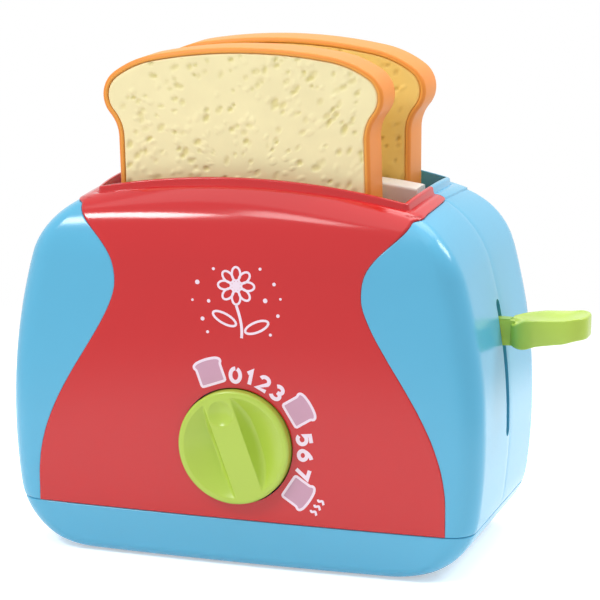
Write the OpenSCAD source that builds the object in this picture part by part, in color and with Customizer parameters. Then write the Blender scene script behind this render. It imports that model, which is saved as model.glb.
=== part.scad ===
// Toy toaster with two play bread slices, a push-down lever and a turning dial.
// Millimetres, +Z up, origin at the centre of the footprint, front face towards -Y.
// The moulded shells, the hourglass panel and the opening rim all come from one
// family of rounded rings, so every wall follows the same loaf-shaped surface.

/* [Body] */
// Half of the body length at the widest height
body_half = 95; // [85:1:105]
// Half of the body depth
body_deep = 48.5; // [42:0.5:55]
// Height of the widest point of the side
belly_z = 54; // [45:1:62]
// Radius of the bulged side
side_r = 226; // [190:1:280]
// Radius of the bottom corner in front view
corner_r = 28; // [22:1:32]
// Radius of the shoulder in front view
shoulder_r = 38.5; // [32:0.5:44]
// Angle where the shoulder begins on the side
shoulder_from = 15.8; // [14:0.1:18]
// Radius between the front face and the top
top_r = 36; // [32:1:40]
// Height where the front face starts to round over
top_from = 116.7; // [112:0.1:120]
// Extra height of the crown from front to back
crown_y = 1.6; // [1:0.1:3]
// Outward bow of the front face in plan
bow = 2; // [1:0.1:3]
// Plan radius between front and side
edge_r = 10; // [8:0.5:12]
// Plan radius of the opening corners
mouth_r = 3.5; // [3.5:0.5:8]
// Wall thickness of the shells
wall = 3.2; // [2.8:0.1:3.4]
// Height of the seam between base and shells
seam_z = 19; // [17:0.5:22]
// Floor thickness of the base
floor_t = 3; // [2.6:0.1:4]

/* [Opening] */
// Half length of the hole in the shells
mouth_half = 63.1; // [62:0.1:64]
// Half depth of the hole in the shells
mouth_deep = 33; // [32:0.1:34]
// Outward bow of the opening ends in plan
end_bow = 1.5; // [0.5:0.1:2]
// Height of the rim above the shells
rim_rise = 2.4; // [2:0.1:4]
// Depth of the rim lip inside the hole
lip_drop = 6.5; // [6:0.5:8]
// Thickness of the rim lip
lip_t = 0.9; // [0.9:0.1:1.4]
// Ring at which the panel reaches the seam plane
lobe_k = 1.82; // [1.8:0.01:1.83]

/* [Front panel] */
// Panel thickness
panel_t = 1.8; // [1.5:0.1:2]
// Half width of the panel at its neck
neck_half = 49; // [44:0.5:54]
// Height of the neck
neck_z = 108; // [100:1:114]
// Half width of the panel at the foot
foot_half = 82; // [76:0.5:84]
// Half width of the panel at the rim
flare_half = 66.5; // [64:0.5:68]

/* [Dial] */
// Dial radius
dial_r = 22.2; // [20:0.1:24]
// Height of the dial axis
dial_z = 48.2; // [46:0.1:50]
// How far the dial stands out of the face
dial_proud = 3.8; // [2:0.1:5]
// Half width of the bar across the dial
bar_half = 5.6; // [4.5:0.1:7]
// Depth of the dial scoops
scoop = 5.4; // [3:0.1:6]
// Turning range of the dial in degrees
dial_turn = 145; // [120:1:150]
// Dial shaft radius
shaft_r = 3; // [2.5:0.1:3.5]

/* [Bread] */
// Width of a slice below its ears
bread_w = 100.8; // [96:0.1:104]
// Width of a slice at its ears
ear_w = 112.4; // [108:0.1:113]
// Slice height
bread_h = 99; // [80:1:110]
// Slice thickness
bread_t = 17.4; // [12:0.1:18]
// Crust band width
crust_w = 1.9; // [1.5:0.1:4]
// Depth of the crumb face behind the crust
crumb_in = 0.8; // [0.4:0.1:1.5]
// Distance between the slice middles
bread_gap = 35.8; // [35:0.1:36.6]
// Sideways rest position of the front slice
front_x = -4.3; // [-4.5:0.1:3]
// Sideways rest position of the rear slice
rear_x = 1.2; // [-3:0.1:3]
// Lean of the front slice
lean = 1.8; // [0:0.1:2]

/* [Carriage and lever] */
// Height of the shelf the slices stand on
shelf_z = 98.3; // [94:0.1:100]
// Lever travel
travel = 30; // [26:0.5:31]
// Guide post radius
post_r = 3; // [2.5:0.1:3.5]
// Distance of a guide post from the middle
post_x = 34; // [28:1:40]
// Lever slot width
slot_w = 5.4; // [5:0.1:6]
// Height of the middle of the lever arm
arm_z = 89.6; // [86:0.1:91]
// Lever arm height
arm_h = 9.6; // [8:0.1:10]
// Tip of the lever
tip_x = 126; // [118:1:132]
// Lever paddle width
pad_w = 20; // [16:0.5:24]
// Lever paddle height
pad_h = 10; // [9:0.5:12]

/* [Fits] */
// Radial clearance of running parts
run_fit = 0.08; // [0.05:0.01:0.1]
// Gap between loose or moving neighbours
loose = 0.4; // [0.3:0.05:0.6]
// Gap between a piece and its seat
seat = 0.02; // [0:0.01:0.04]

/* [Fasteners] */
// Screw shank radius
screw_r = 1.4; // [1.2:0.1:1.6]
// Screw head radius
head_r = 2.8; // [2.5:0.1:3.2]
// Screw head height
head_h = 1.8; // [1.5:0.1:2.2]
// Boss radius
boss_r = 4; // [3.5:0.1:4.5]
// Foot pad radius
pad_r = 6; // [5:0.1:7]
// Foot pad height
foot_h = 2; // [1.6:0.1:2.4]
// How far the pads stand below the base
foot_proud = 0.8; // [0.6:0.1:1]

/* [Hidden] */
red = [0.83, 0.20, 0.22];
blue = [0.41, 0.74, 0.88];
lime = [0.68, 0.82, 0.27];
cream = [0.95, 0.94, 0.90];
crust_colour = [0.92, 0.57, 0.24];
crumb_colour = [0.95, 0.88, 0.66];
steel = [0.72, 0.73, 0.75];
grey = [0.30, 0.32, 0.34];
side_x = body_half - side_r;
ear_x = side_x + (side_r - shoulder_r) * cos(shoulder_from);
ear_z = belly_z + (side_r - shoulder_r) * sin(shoulder_from);
low_z = foot_proud + corner_r;
low_x = side_x + sqrt(pow(side_r - corner_r, 2) - pow(low_z - belly_z, 2));
low_turn = atan2(low_z - belly_z, low_x - side_x);
low_top = low_z + corner_r * sin(low_turn);
round_y = body_deep - top_r;
shoulder_to = acos((mouth_half - ear_x) / shoulder_r);
top_to = acos((mouth_deep - round_y) / top_r);
rim_k = 0.085;
bottom_fillet = 4;
foot_x = 50;
foot_y = 26;
plinth_x = foot_x + pad_r + 3;
plinth_y = foot_y + pad_r + 1;
slice_y = bread_gap / 2;
bread_z = shelf_z + seat;
slot_y = -slot_w / 2;
arm_t = slot_w - 2 * loose;
divide_z = 124;
divide_t = 12;
divide_top = 141.5;
divide_bow_r = 420;
divide_rise = 6;
post_foot = 6;
sleeve_r = post_r + 2.4;
sleeve_z = shelf_z - 24;
screw_x = 58;
screw_y = 38.5;
bolt_x = 72;
bolt_zs = [40, 108];
bolt_y = 12;
clip_xz = [[38, 106], [68, 29]];
slot_low = arm_z - arm_h / 2 - travel - 6.5;
slot_high = arm_z + arm_h / 2 + 7.5;
fit_gap = 0.1;
cup_t = 2.2;
cup_y = -41;
cam_y = -36.4;
cam_t = 4;
cam_high = 15.15;
latch_x = 13;
latch_t = 3.2;
latch_z = 23;
latch_swing = 5.5;
cam_low = cam_high - (dial_z - latch_z) * tan(latch_swing);
pin_r = 1.5;
tooth_h = 2.6;
tooth_z = arm_z - 4;
hook_z = tooth_z + tooth_h - travel + loose;
bread_foot = 8;
ear_drop = 18.7;
ear_r = 11;
neck_r = 14;
rise_r = 40;
crown_r = 205;
front_drop = (bread_w / 2 - bread_foot) * sin(lean) - (bread_h / 2 - bread_foot) * (1 - cos(lean));
dial_y = -body_deep - dial_proud;
face_back = -body_deep + wall;

// ---- the ring family ----
function mix(a, b, t) = a + (b - a) * t;
function side_at(z, i) = z < low_top
  ? low_x + sqrt(max(0, pow(corner_r - i, 2) - pow(z - low_z, 2)))
  : side_x + sqrt(pow(side_r - i, 2) - pow(z - belly_z, 2));
function turn_s(k) = mix(shoulder_from, shoulder_to, k - 1);
function turn_f(k) = mix(0, top_to, k - 1);
function row_ze(k, i) = k <= 1 ? mix(seam_z, ear_z + (shoulder_r - i) * sin(shoulder_from), k)
  : ear_z + (shoulder_r - i) * sin(turn_s(k));
function row_hw(k, i) = k <= 1 ? side_at(row_ze(k, i), i) : ear_x + (shoulder_r - i) * cos(turn_s(k));
function row_zf(k, i) = k <= 1 ? mix(seam_z, top_from, k) : top_from + (top_r - i) * sin(turn_f(k));
function row_hd(k, i) = k <= 1 ? body_deep - i : round_y + (top_r - i) * cos(turn_f(k));
function row_rc(k) = k <= 1 ? edge_r : mix(edge_r, mouth_r, k - 1);
function row_c(k) = k <= 1 ? 0 : crown_y * pow(k - 1, 2);
// plan position on a ring: station 0 front middle, 1 corner start, 2 corner end, 3 seam plane
function ring_xy(w, d, r, i, t) = let (u = abs(t), s = t < 0 ? -1 : 1)
  u <= 1 ? [s * u * (w - r), -(d - i)]
  : u <= 2 ? [s * (w - r + (r - i) * sin(90 * (u - 1))), -(d - r) - (r - i) * cos(90 * (u - 1))]
  : [s * (w - i), -(d - r) * (3 - u)];
function bowed(p, w, d, e = 0) = [p[0] * (1 - e / w * pow(p[1] / d, 2) * pow(p[0] / w, 2)),
  p[1] + bow * pow(p[0] / w, 2) * pow(min(1, abs(p[1]) / d), 3)];
function lift(k, i, p, w, d) = let (ze = row_ze(k, i), c = row_c(k), a = row_zf(k, i) - ze + c)
  ze + a * (1 - pow(p[0] / w, 2)) - c * pow(p[1] / d, 2);
function skin(k, i, t) = let (w = row_hw(k, 0), d = row_hd(k, 0), r = row_rc(k),
  p = ring_xy(row_hw(k, i) + i, row_hd(k, i) + i, r, i, t), q = bowed(p, w, d, end_bow * max(0, k - 1)))
  [q[0], q[1], lift(k, i, p, row_hw(k, i), row_hd(k, i))];
// half width of the hourglass at a height, measured along the ring
function glass(z) = z < neck_z
  ? let (t = (neck_z - z) / (neck_z - seam_z))
    mix(neck_half, foot_half, (1 - cos(180 * min(1, 1.1 * pow(t, 0.78)))) / 2)
  : let (t = min(1, (z - neck_z) / (row_zf(1.7, 0) - neck_z)))
    mix(neck_half, flare_half, (1 - cos(180 * pow(t, 1.4))) / 2);
function lobe_s(k, s) = let (w = row_hw(k, 0), r = row_rc(k), c = r * PI / 2, d = row_hd(k, 0))
  s <= w - r ? s / (w - r) : s <= w - r + c ? 1 + (s - w + r) / c : 2 + (s - w + r - c) / (d - r);
function glass_t(k, more) = let (q = min(k, lobe_k), u = max(0, (q - 1.6) / (lobe_k - 1.6)))
  lobe_s(k, glass(mix(row_ze(q, 0), row_zf(q, 0), 0.6) - row_c(q) / 2) + more * (1 + 4 * u) + 12 * pow(u, 10));
rows = [0, 0.12, 0.26, 0.4, 0.52, 0.64, 0.76, 0.88, 1, 1.12, 1.25, 1.38, 1.5, 1.62, 1.7, 1.76, lobe_k,
  lobe_k + 0.012, lobe_k + 0.016, lobe_k + 0.03, 1.88, 2 - rim_k];
tip_t = 2.86;
function panel_e(k) = k < lobe_k + 0.014 ? glass_t(k, 0) : k < lobe_k + 0.02 ? tip_t : 3;
function recess_e(k) = k < lobe_k + 0.014 ? glass_t(k, loose) : tip_t + 0.02;
function recess_in(k) = k < lobe_k + 0.014 ? glass_t(k, 0.4 * loose) : tip_t + 0.01;
side_ts = [3, 2.5, 2, 1.8, 1.6, 1.4, 1.2, 1];
across_ts = [2.5, 2, 1.75, 1.5, 1.25, 1, 0.8, 0.5, 0.25];
across = [0.94, 0.92, 0.89, 0.86, 0.8, 0.7, 0.55, 0.35, 0.17];
// half a row behind the panel, from its border to the middle
function across_row(k) = [for (j = [0 : len(across) - 1]) min(across_ts[j], recess_e(k) * across[j])];
function mirrored(list) = concat(list, [0], [for (j = [len(list) - 1 : -1 : 0]) -list[j]]);

// ---- closed skins from two grids of points ----
function grid_faces(nr, nc, base, flip) = [for (r = [0 : nr - 2], c = [0 : nc - 2])
  let (a = base + r * nc + c, b = a + 1, d = a + nc, e = d + 1)
  each (flip ? [[a, b, e], [a, e, d]] : [[a, e, b], [a, d, e]])];
function edge_faces(list_a, list_b) = [for (i = [0 : len(list_a) - 2])
  each [[list_a[i], list_b[i], list_b[i + 1]], [list_a[i], list_b[i + 1], list_a[i + 1]]]];
module sheet(outer, inner) {
  nr = len(outer);
  nc = len(outer[0]);
  n = nr * nc;
  points = concat([for (r = outer, p = r) p], [for (r = inner, p = r) p]);
  first = [for (c = [0 : nc - 1]) c];
  last = [for (c = [0 : nc - 1]) (nr - 1) * nc + c];
  left = [for (r = [0 : nr - 1]) r * nc];
  right = [for (r = [0 : nr - 1]) r * nc + nc - 1];
  off = function (l) [for (v = l) v + n];
  back = function (l) [for (i = [len(l) - 1 : -1 : 0]) l[i]];
  faces = concat(
    grid_faces(nr, nc, 0, false),
    grid_faces(nr, nc, n, true),
    edge_faces(first, off(first)),
    edge_faces(back(last), off(back(last))),
    edge_faces(back(left), off(back(left))),
    edge_faces(right, off(right)));
  polyhedron(points = points, faces = [for (f = faces) [f[2], f[1], f[0]]], convexity = 12);
}
// a bar of one section swept along a ring: sections listed with their points in order
module swept(sections, cap = []) {
  n = len(sections[0]);
  m = len(sections);
  points = [for (s = sections, p = s) p];
  sides = [for (j = [0 : m - 2], i = [0 : n - 1])
    let (a = j * n + i, b = j * n + (i + 1) % n, c = a + n, d = b + n)
    each [[a, b, d], [a, d, c]]];
  tail = (m - 1) * n;
  ends = len(cap) > 0
    ? concat([for (f = cap) [f[2], f[1], f[0]]], [for (f = cap) [f[0] + tail, f[1] + tail, f[2] + tail]])
    : [[for (i = [n - 1 : -1 : 0]) i], [for (i = [0 : n - 1]) tail + i]];
  polyhedron(points = points, faces = concat(sides, ends), convexity = 12);
}
// one closed ring section of the opening rim at a station
function rim_at(o, dz, t) = let (w = mouth_half, d = mouth_deep, r = mouth_r,
  p = ring_xy(w, d, r, -o, t), q = bowed(p, w, d, end_bow)) [q[0], q[1], lift(2, 0, p, w, d) + dz];
function rim_section(t) = [skin(2 - rim_k, 0.9, t), skin(2 - rim_k / 2, 0.9, t), skin(2 - rim_k / 4, 0.9, t),
  rim_at(-loose, -1.2, t), rim_at(-loose, -lip_drop, t), rim_at(-loose - lip_t, -lip_drop, t),
  rim_at(-loose - lip_t, rim_rise - 0.3, t), rim_at(0.3 - loose - lip_t, rim_rise, t),
  rim_at(0, rim_rise, t), rim_at(0.3, rim_rise - 0.4, t), rim_at(0.8, 0.1, t)];
rim_cap = [[0, 1, 10], [1, 2, 10], [2, 3, 10], [3, 9, 10], [3, 8, 9], [3, 7, 8], [3, 6, 7], [3, 5, 6],
  [3, 4, 5]];
rim_ts = [3, 2.5, 2, 1.75, 1.5, 1.25, 1, 0.8, 0.6, 0.4, 0.2];

// ---- shells ----
function shell_half(k, i, deep) = let (e = recess_e(k), q = k > lobe_k ? deep : i, n = len(side_ts))
  concat([for (j = [0 : n - 1]) [max(side_ts[j], mix(e, 3, (n - j) / (n + 1))), q]],
    [[e, q], [recess_in(k), deep]], [for (t = across_row(k)) [t, deep]]);
function shell_row(k, i, deep) = let (h = shell_half(k, i, deep))
  concat([for (p = h) skin(k, p[1], p[0])], [skin(k, deep, 0)],
    [for (j = [len(h) - 1 : -1 : 0]) skin(k, h[j][1], -h[j][0])]);
// the rear shell carries its own half of the rim
rear_ts = [3, 2.5, 2, 1.75, 1.5, 1.25, 1, 0.8, 0.6, 0.3];
rear_rows = concat([for (k = rows) if (k < lobe_k + 0.01) k], [1.87, 2 - rim_k]);
rim_out = [[0.8, 0.1], [0.3, rim_rise - 0.4], [0, rim_rise], [0.3 - loose - lip_t, rim_rise],
  [-loose - lip_t, rim_rise - 0.3], [-loose - lip_t, -lip_drop]];
rim_in = [[0.2, -4.6], [0.1, -4.8], [-0.05, -5], [-0.2, -5.2], [-loose, -5.5], [-loose, -lip_drop]];
function rear_out(r, t) = let (n = len(rear_rows), q = r - n)
  r < n ? skin(rear_rows[r], 0, t) : rim_at(rim_out[q][0], rim_out[q][1], t);
function rear_in(r, t) = let (n = len(rear_rows), q = r - n)
  r < n ? skin(rear_rows[r], wall, t) : rim_at(rim_in[q][0], rim_in[q][1], t);
module y_rod(r, from, to) translate([0, from, 0]) rotate([-90, 0, 0]) cylinder(r = r, h = to - from, $fn = 48);
module foot_bosses() for (x = [-screw_x, screw_x]) {
  translate([x, -screw_y, seam_z]) cylinder(r = boss_r, h = 24, $fn = 32);
  translate([x - 2.5, face_back + 0.3, seam_z]) cube([5, -screw_y - face_back, 24]);
}
module front_shell() {
  color(blue) difference() {
    union() {
      sheet([for (k = rows) shell_row(k, 0, panel_t + fit_gap)], [for (k = rows) shell_row(k, wall, wall)]);
      translate([0, 0, dial_z]) y_rod(dial_r + loose + cup_t, -body_deep + panel_t + 0.3, cup_y + cup_t);
      foot_bosses();
      for (x = [-bolt_x, bolt_x], z = bolt_zs) translate([x, 0, z]) y_rod(boss_r, face_back + 0.3, -1);
      for (s = [-1, 1], p = clip_xz) translate([s * p[0], 0, p[1]]) y_rod(boss_r, face_back, face_back + 2);
    }
    translate([0, 0, dial_z]) y_rod(dial_r + loose, -body_deep - 2, cup_y);
    translate([0, 0, dial_z]) y_rod(shaft_r + run_fit, cup_y - 1, cup_y + cup_t + 1);
    for (x = [-screw_x, screw_x])
      translate([x, -screw_y, seam_z - 1]) cylinder(r = screw_r, h = 20, $fn = 24);
    for (x = [-bolt_x, bolt_x], z = bolt_zs) translate([x, 0, z]) y_rod(screw_r, -18, 0);
    for (s = [-1, 1], p = clip_xz)
      translate([s * p[0], 0, p[1]]) y_rod(pin_r + run_fit, -body_deep, face_back + 4);
    translate([body_half - 20, -slot_w, slot_low]) cube([30, slot_w + 1, slot_high - slot_low]);
  }
}
module rear_shell() {
  color(blue) difference() {
    mirror([0, 1, 0]) union() {
      sheet([for (r = [0 : len(rear_rows) + 5]) [for (t = mirrored(rear_ts)) rear_out(r, t)]],
        [for (r = [0 : len(rear_rows) + 5]) [for (t = mirrored(rear_ts)) rear_in(r, t)]]);
      foot_bosses();
      for (x = [-bolt_x, bolt_x], z = bolt_zs) translate([x, 0, z])
        y_rod(boss_r + 0.4, face_back - 0.5, -1 - seat);
    }
    for (x = [-screw_x, screw_x])
      translate([x, screw_y, seam_z - 1]) cylinder(r = screw_r, h = 20, $fn = 24);
    for (x = [-bolt_x, bolt_x], z = bolt_zs) translate([x, 0, z]) {
      y_rod(screw_r + loose, -1, body_deep + 2);
      y_rod(head_r + loose, bolt_y - 2 * seat, body_deep + 2);
    }
  }
}

// ---- base ----
function base_deep(z) = body_deep - (z - foot_proud < bottom_fillet
  ? bottom_fillet - sqrt(max(0, pow(bottom_fillet, 2) - pow(bottom_fillet - z + foot_proud, 2))) : 0);
function base_point(z, i, d, t, s) = let (w = side_at(z, i), q = ring_xy(w + i, d, edge_r, i, t),
  p = bowed(q, side_at(z, 0), d)) [p[0], s * p[1], z];
function base_loop(z, i, d) = concat(
  [for (t = [2, 1.75, 1.5, 1.25, 1, 0.5, 0, -0.5, -1, -1.25, -1.5, -1.75, -2]) base_point(z, i, d, t, 1)],
  [for (t = [-2, -1.75, -1.5, -1.25, -1, -0.5, 0, 0.5, 1, 1.25, 1.5, 1.75, 2]) base_point(z, i, d, t, -1)]);
module base_tray() {
  seam_turn = asin((seam_z - low_z) / corner_r);
  outer = [for (a = [-90, -82, -72, -60, -48, -36, -28]) low_z + corner_r * sin(a)];
  inner_z = foot_proud + floor_t;
  color(blue) difference() {
    union() {
      swept(concat(
        [for (z = outer) base_loop(z, 0, base_deep(z))],
        [base_loop(seam_z - seat, 0, body_deep), base_loop(seam_z - seat, wall, body_deep)],
        [for (f = [0.7, 0.4, 0.15, 0]) base_loop(mix(inner_z, seam_z, f), wall, body_deep)]));
      translate([-plinth_x, -plinth_y, 0]) cube([2 * plinth_x, 2 * plinth_y, foot_h + 1]);
      for (x = [-post_x, post_x])
        translate([x, 0, inner_z - 1]) cylinder(r = post_r + 3, h = 9, $fn = 32);
      for (y = [cam_y - loose - 1.6, -28 + loose])
        translate([latch_x - 2, y, inner_z - 1]) cube([8, y < -30 ? 1.6 : 3, latch_z + 4 - inner_z + 1]);
    }
    for (x = [-post_x, post_x]) {
      translate([x, 0, post_foot]) cylinder(r = post_r + seat, h = 20, $fn = 32);
      translate([x, 0, -1]) cylinder(r = screw_r, h = 21, $fn = 24);
      translate([x, 0, -1]) cylinder(r = head_r + loose, h = 1 + foot_proud + head_h + 2 * seat, $fn = 32);
    }
    for (x = [-screw_x, screw_x], y = [-screw_y, screw_y]) translate([x, y, 0]) {
      cylinder(r = screw_r + loose, h = 10, $fn = 24);
      cylinder(r = head_r + loose, h = foot_proud + head_h + 2 * seat, $fn = 32);
    }
    foot_places() translate([0, 0, -1]) cylinder(r = pad_r + seat, h = 1 + foot_h + seat, $fn = 48);
    translate([latch_x + latch_t / 2, 0, latch_z]) y_rod(pin_r + seat, -42, -20);
  }
}
module foot_places() for (x = [-foot_x, foot_x], y = [-foot_y, foot_y]) translate([x, y, 0]) children();
module foot_pads() color(grey) foot_places() cylinder(r = pad_r, h = foot_h, $fn = 48);

// ---- front panel with the front half of the rim ----
function panel_row(k, i) = let (h = concat([panel_e(k)], across_row(k)))
  [for (t = mirrored(h)) skin(k, i, t)];
function panel_lip(dz) = [for (t = mirrored(concat([3], across_row(2)))) rim_at(-loose - lip_t / 2, dz, t)];
panel_rows = concat([0.006], [for (i = [1 : len(rows) - 1]) rows[i]], [2]);
module front_panel() {
  color(red) difference() {
    union() {
      // resize with zeros keeps every size and joins the two skins into one
      resize([0, 0, 0]) union() {
        sheet(concat([for (k = panel_rows) panel_row(k, 0)], [panel_lip(-0.6)]),
          concat([for (k = panel_rows) panel_row(k, panel_t - seat)], [panel_lip(-panel_t - 0.4)]));
        swept([for (t = mirrored(rim_ts)) rim_section(t)], rim_cap);
      }
      for (s = [-1, 1], p = clip_xz)
        translate([s * p[0], 0, p[1]]) y_rod(pin_r, -body_deep + panel_t / 2 + 0.3, face_back + 4.4);
    }
    translate([0, 0, dial_z]) y_rod(dial_r + loose, -body_deep - 3, -40);
  }
}
module panel_clips() {
  color(steel) for (s = [-1, 1], p = clip_xz) translate([s * p[0], 0, p[1]]) difference() {
    y_rod(boss_r, face_back + 2 + seat, face_back + 3.2);
    y_rod(pin_r + seat, face_back, face_back + 5);
  }
}

// ---- divider, guide posts, carriage ----
module slot_divider() {
  half = mouth_half - loose - lip_t - loose;
  color(cream) difference() {
    intersection() {
      translate([-half, -divide_t / 2, divide_z]) cube([2 * half, divide_t, 30]);
      translate([0, divide_t, divide_top + divide_rise - divide_bow_r]) rotate([90, 0, 0])
        cylinder(r = divide_bow_r, h = 2 * divide_t, $fn = 360);
      translate([-half, 0, divide_top - 1]) rotate([0, 90, 0]) union() {
        cylinder(r = 8, h = 2 * half, $fn = 64);
        translate([0, -divide_t, 0]) cube([30, 2 * divide_t, 2 * half]);
      }
    }
    for (x = [-post_x, post_x])
      translate([x, 0, divide_z - 1]) cylinder(r = post_r + seat, h = 7 + seat, $fn = 32);
  }
}
module guide_posts() {
  color(steel) for (x = [-post_x, post_x]) translate([x, 0, 0]) difference() {
    translate([0, 0, post_foot]) cylinder(r = post_r, h = divide_z + 6 - post_foot, $fn = 48);
    cylinder(r = screw_r, h = 16, $fn = 24);
  }
}
module carriage() {
  shelf_x = 48;
  shelf_y = slice_y + bread_t / 2 - 0.4;
  shelf_t = 3.6;
  color(cream) difference() {
    union() {
      translate([-shelf_x, -shelf_y, shelf_z - shelf_t]) cube([2 * shelf_x, 2 * shelf_y, shelf_t - front_drop]);
      translate([-shelf_x, -4, shelf_z - shelf_t]) cube([2 * shelf_x, shelf_y + 4, shelf_t]);
      for (x = [-post_x, post_x])
        translate([x, 0, sleeve_z]) cylinder(r = sleeve_r, h = shelf_z - sleeve_z, $fn = 48);
      translate([-post_x, slot_y - arm_t / 2, arm_z - arm_h / 2])
        cube([post_x + body_half + 0.6, arm_t, shelf_z - shelf_t + 1 - arm_z + arm_h / 2]);
      translate([body_half - 4, slot_y - arm_t / 2, arm_z - arm_h / 2]) cube([4.6, arm_t, arm_h]);
      translate([body_half, slot_y - arm_t / 2, arm_z - 3]) cube([13, arm_t, 6]);
      translate([4, -31, tooth_z]) cube([3, 2.8, shelf_z - front_drop - tooth_z]);
      translate([4, -31, tooth_z]) cube([7.1, 2.8, tooth_h]);
      translate([0, -31, shelf_z - shelf_t]) cube([12, 31 - shelf_y + 1, shelf_t - front_drop]);
    }
    for (x = [-post_x, post_x])
      translate([x, 0, sleeve_z - 1]) cylinder(r = post_r + run_fit, h = 30, $fn = 48);
    for (x = [-24, 0, 24], s = [-1, 1])
      translate([x, s * slice_y, shelf_z - shelf_t - 1]) cylinder(r = 5, h = 6, $fn = 32);
    translate([body_half + 6, slot_y, arm_z - 6]) cylinder(r = screw_r, h = 12, $fn = 24);
    translate([body_half - 20, slot_y - arm_t, shelf_z - 3.4]) cube([30, 2 * arm_t, 10]);
  }
}
module lever_plan() {
  r = 0.8 * pad_w / 2;
  flare = [[0.9, 2.6], [2, 5], [4.5, 0.82 * pad_w / 2], [8, 0.96 * pad_w / 2], [12, pad_w / 2]];
  tip = [for (a = [90 : -10 : 0]) [tip_x - r + r * cos(a), pad_w / 2 - r + r * sin(a)]];
  half = concat([for (p = flare) [body_half + p[0], p[1]]], tip);
  polygon(concat([for (p = half) [p[0], slot_y + p[1]]],
    [for (i = [len(half) - 1 : -1 : 0]) [half[i][0], slot_y - half[i][1]]]));
}
module lever_handle() {
  color(lime) difference() {
    intersection() {
      translate([0, 0, arm_z - pad_h]) linear_extrude(height = 3 * pad_h) lever_plan();
      translate([0, pad_w, 0]) rotate([90, 0, 0]) linear_extrude(height = 2 * pad_w + 6)
        polygon([[body_half, arm_z - 5], [body_half + 10, arm_z - 4], [body_half + 20, arm_z - 2.6],
          [tip_x - 4, arm_z - 1.2], [tip_x, arm_z + 1.2], [tip_x + 1, arm_z + pad_h - 1],
          [tip_x - 2, arm_z + pad_h - 1.4], [tip_x - 10, arm_z + pad_h - 3.4],
          [body_half + 10, arm_z + pad_h - 4], [body_half, arm_z + 5.2]]);
    }
    translate([body_half - 1, slot_y - arm_t / 2 - seat, arm_z - 3 - seat])
      cube([14 + loose, arm_t + 2 * seat, 6 + 2 * seat]);
    translate([body_half + 6, slot_y, arm_z - 8]) cylinder(r = screw_r, h = 11.5, $fn = 24);
    translate([body_half + 6, slot_y, arm_z - 8]) cylinder(r = head_r + loose, h = 8 - 3 - 1, $fn = 32);
  }
}
module screw(len) {
  cylinder(r = head_r, h = head_h, $fn = 32);
  cylinder(r = screw_r - seat, h = len, $fn = 24);
}
module lever_screw() color(steel) translate([body_half + 6, slot_y, arm_z - 4 - head_h - seat]) screw(8);
module helix(turns, height, coil, wire) {
  steps = turns * 14;
  sections = [for (i = [0 : steps])
    let (a = 360 * turns * i / steps, z = wire + (height - 2 * wire) * i / steps)
    [for (b = [0 : 60 : 300]) let (r = coil + wire * cos(b)) [r * cos(a), r * sin(a), z + wire * sin(b)]]];
  swept(sections);
}
module lift_spring() {
  from = foot_proud + floor_t + 8;
  translate([0, 0, from + seat]) helix(9, sleeve_z - from - 2 * seat, post_r + 1.5, 0.55);
}
module lift_spring_left() color(steel) translate([-post_x, 0, 0]) lift_spring();
module lift_spring_right() color(steel) translate([post_x, 0, 0]) lift_spring();

// ---- latch, dial and cam ----
module latch_hook() {
  x = latch_x + latch_t / 2;
  color(cream) translate([x, 0, latch_z]) rotate([0, latch_swing, 0]) translate([-x, 0, -latch_z])
    difference() {
    union() {
      translate([latch_x, cam_y, latch_z]) cube([latch_t, -28 - cam_y, hook_z + 3 - latch_z]);
      translate([latch_x - 4.5, -31.2, hook_z]) cube([5, 3.2, 3]);
      translate([x, 0, latch_z]) y_rod(pin_r + 2, cam_y, -28);
    }
    translate([x, 0, latch_z]) y_rod(pin_r + run_fit, cam_y - 1, -27);
  }
}
module latch_pin() color(steel) translate([latch_x + latch_t / 2, 0, latch_z])
  y_rod(pin_r, cam_y - loose - 1.6, -28 + loose + 3);
dish_r = (pow(dial_r - 2.4, 2) + pow(scoop, 2)) / (2 * scoop);
dial_wall = scoop + 3;
module timer_knob() {
  color(lime) translate([0, 0, dial_z]) rotate([0, -20, 0]) difference() {
    union() {
      y_rod(dial_r, dial_y + 1, cup_y - loose);
      translate([0, dial_y, 0]) rotate([-90, 0, 0]) cylinder(r1 = dial_r - 1, r2 = dial_r, h = 1.1, $fn = 96);
    }
    for (s = [-1, 1]) intersection() {
      translate([0, dial_y - dish_r + scoop, 0]) sphere(r = dish_r, $fn = 120);
      translate([s > 0 ? bar_half : -bar_half - dial_r, dial_y - 1, -dial_r])
        cube([dial_r, scoop + 2, 2 * dial_r]);
    }
    difference() {
      y_rod(dial_r - 2.6, dial_y + dial_wall, cup_y);
      y_rod(shaft_r + 3, dial_y + dial_wall - 1, cup_y);
    }
    y_rod(shaft_r + seat, dial_y + 3, cup_y + 1);
  }
}
module knob_shaft() color(steel) translate([0, 0, dial_z]) difference() {
  y_rod(shaft_r, dial_y + 3 + seat, cam_y + cam_t + 0.4);
  y_rod(screw_r, cam_y - 4, cam_y + cam_t + 1);
}
module shaft_ring() color(steel) translate([0, 0, dial_z]) difference() {
  y_rod(shaft_r + 2, cup_y + cup_t + 0.1, cup_y + cup_t + 1.1);
  y_rod(shaft_r + seat, cup_y, cup_y + 6);
}
function cam_radius(a) = a <= dial_turn ? cam_high - (cam_high - cam_low) * a / dial_turn
  : mix(cam_low, cam_high, pow((a - dial_turn) / (360 - dial_turn), 2));
module release_cam() color(cream) translate([0, 0, dial_z]) difference() {
  translate([0, cam_y + cam_t, 0]) rotate([90, 0, 0]) linear_extrude(height = cam_t)
    polygon([for (a = [0 : 10 : 350]) cam_radius(a) * [cos(a), sin(a)]]);
  y_rod(shaft_r + seat, cam_y - 1, cam_y + cam_t + 1);
}
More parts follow.
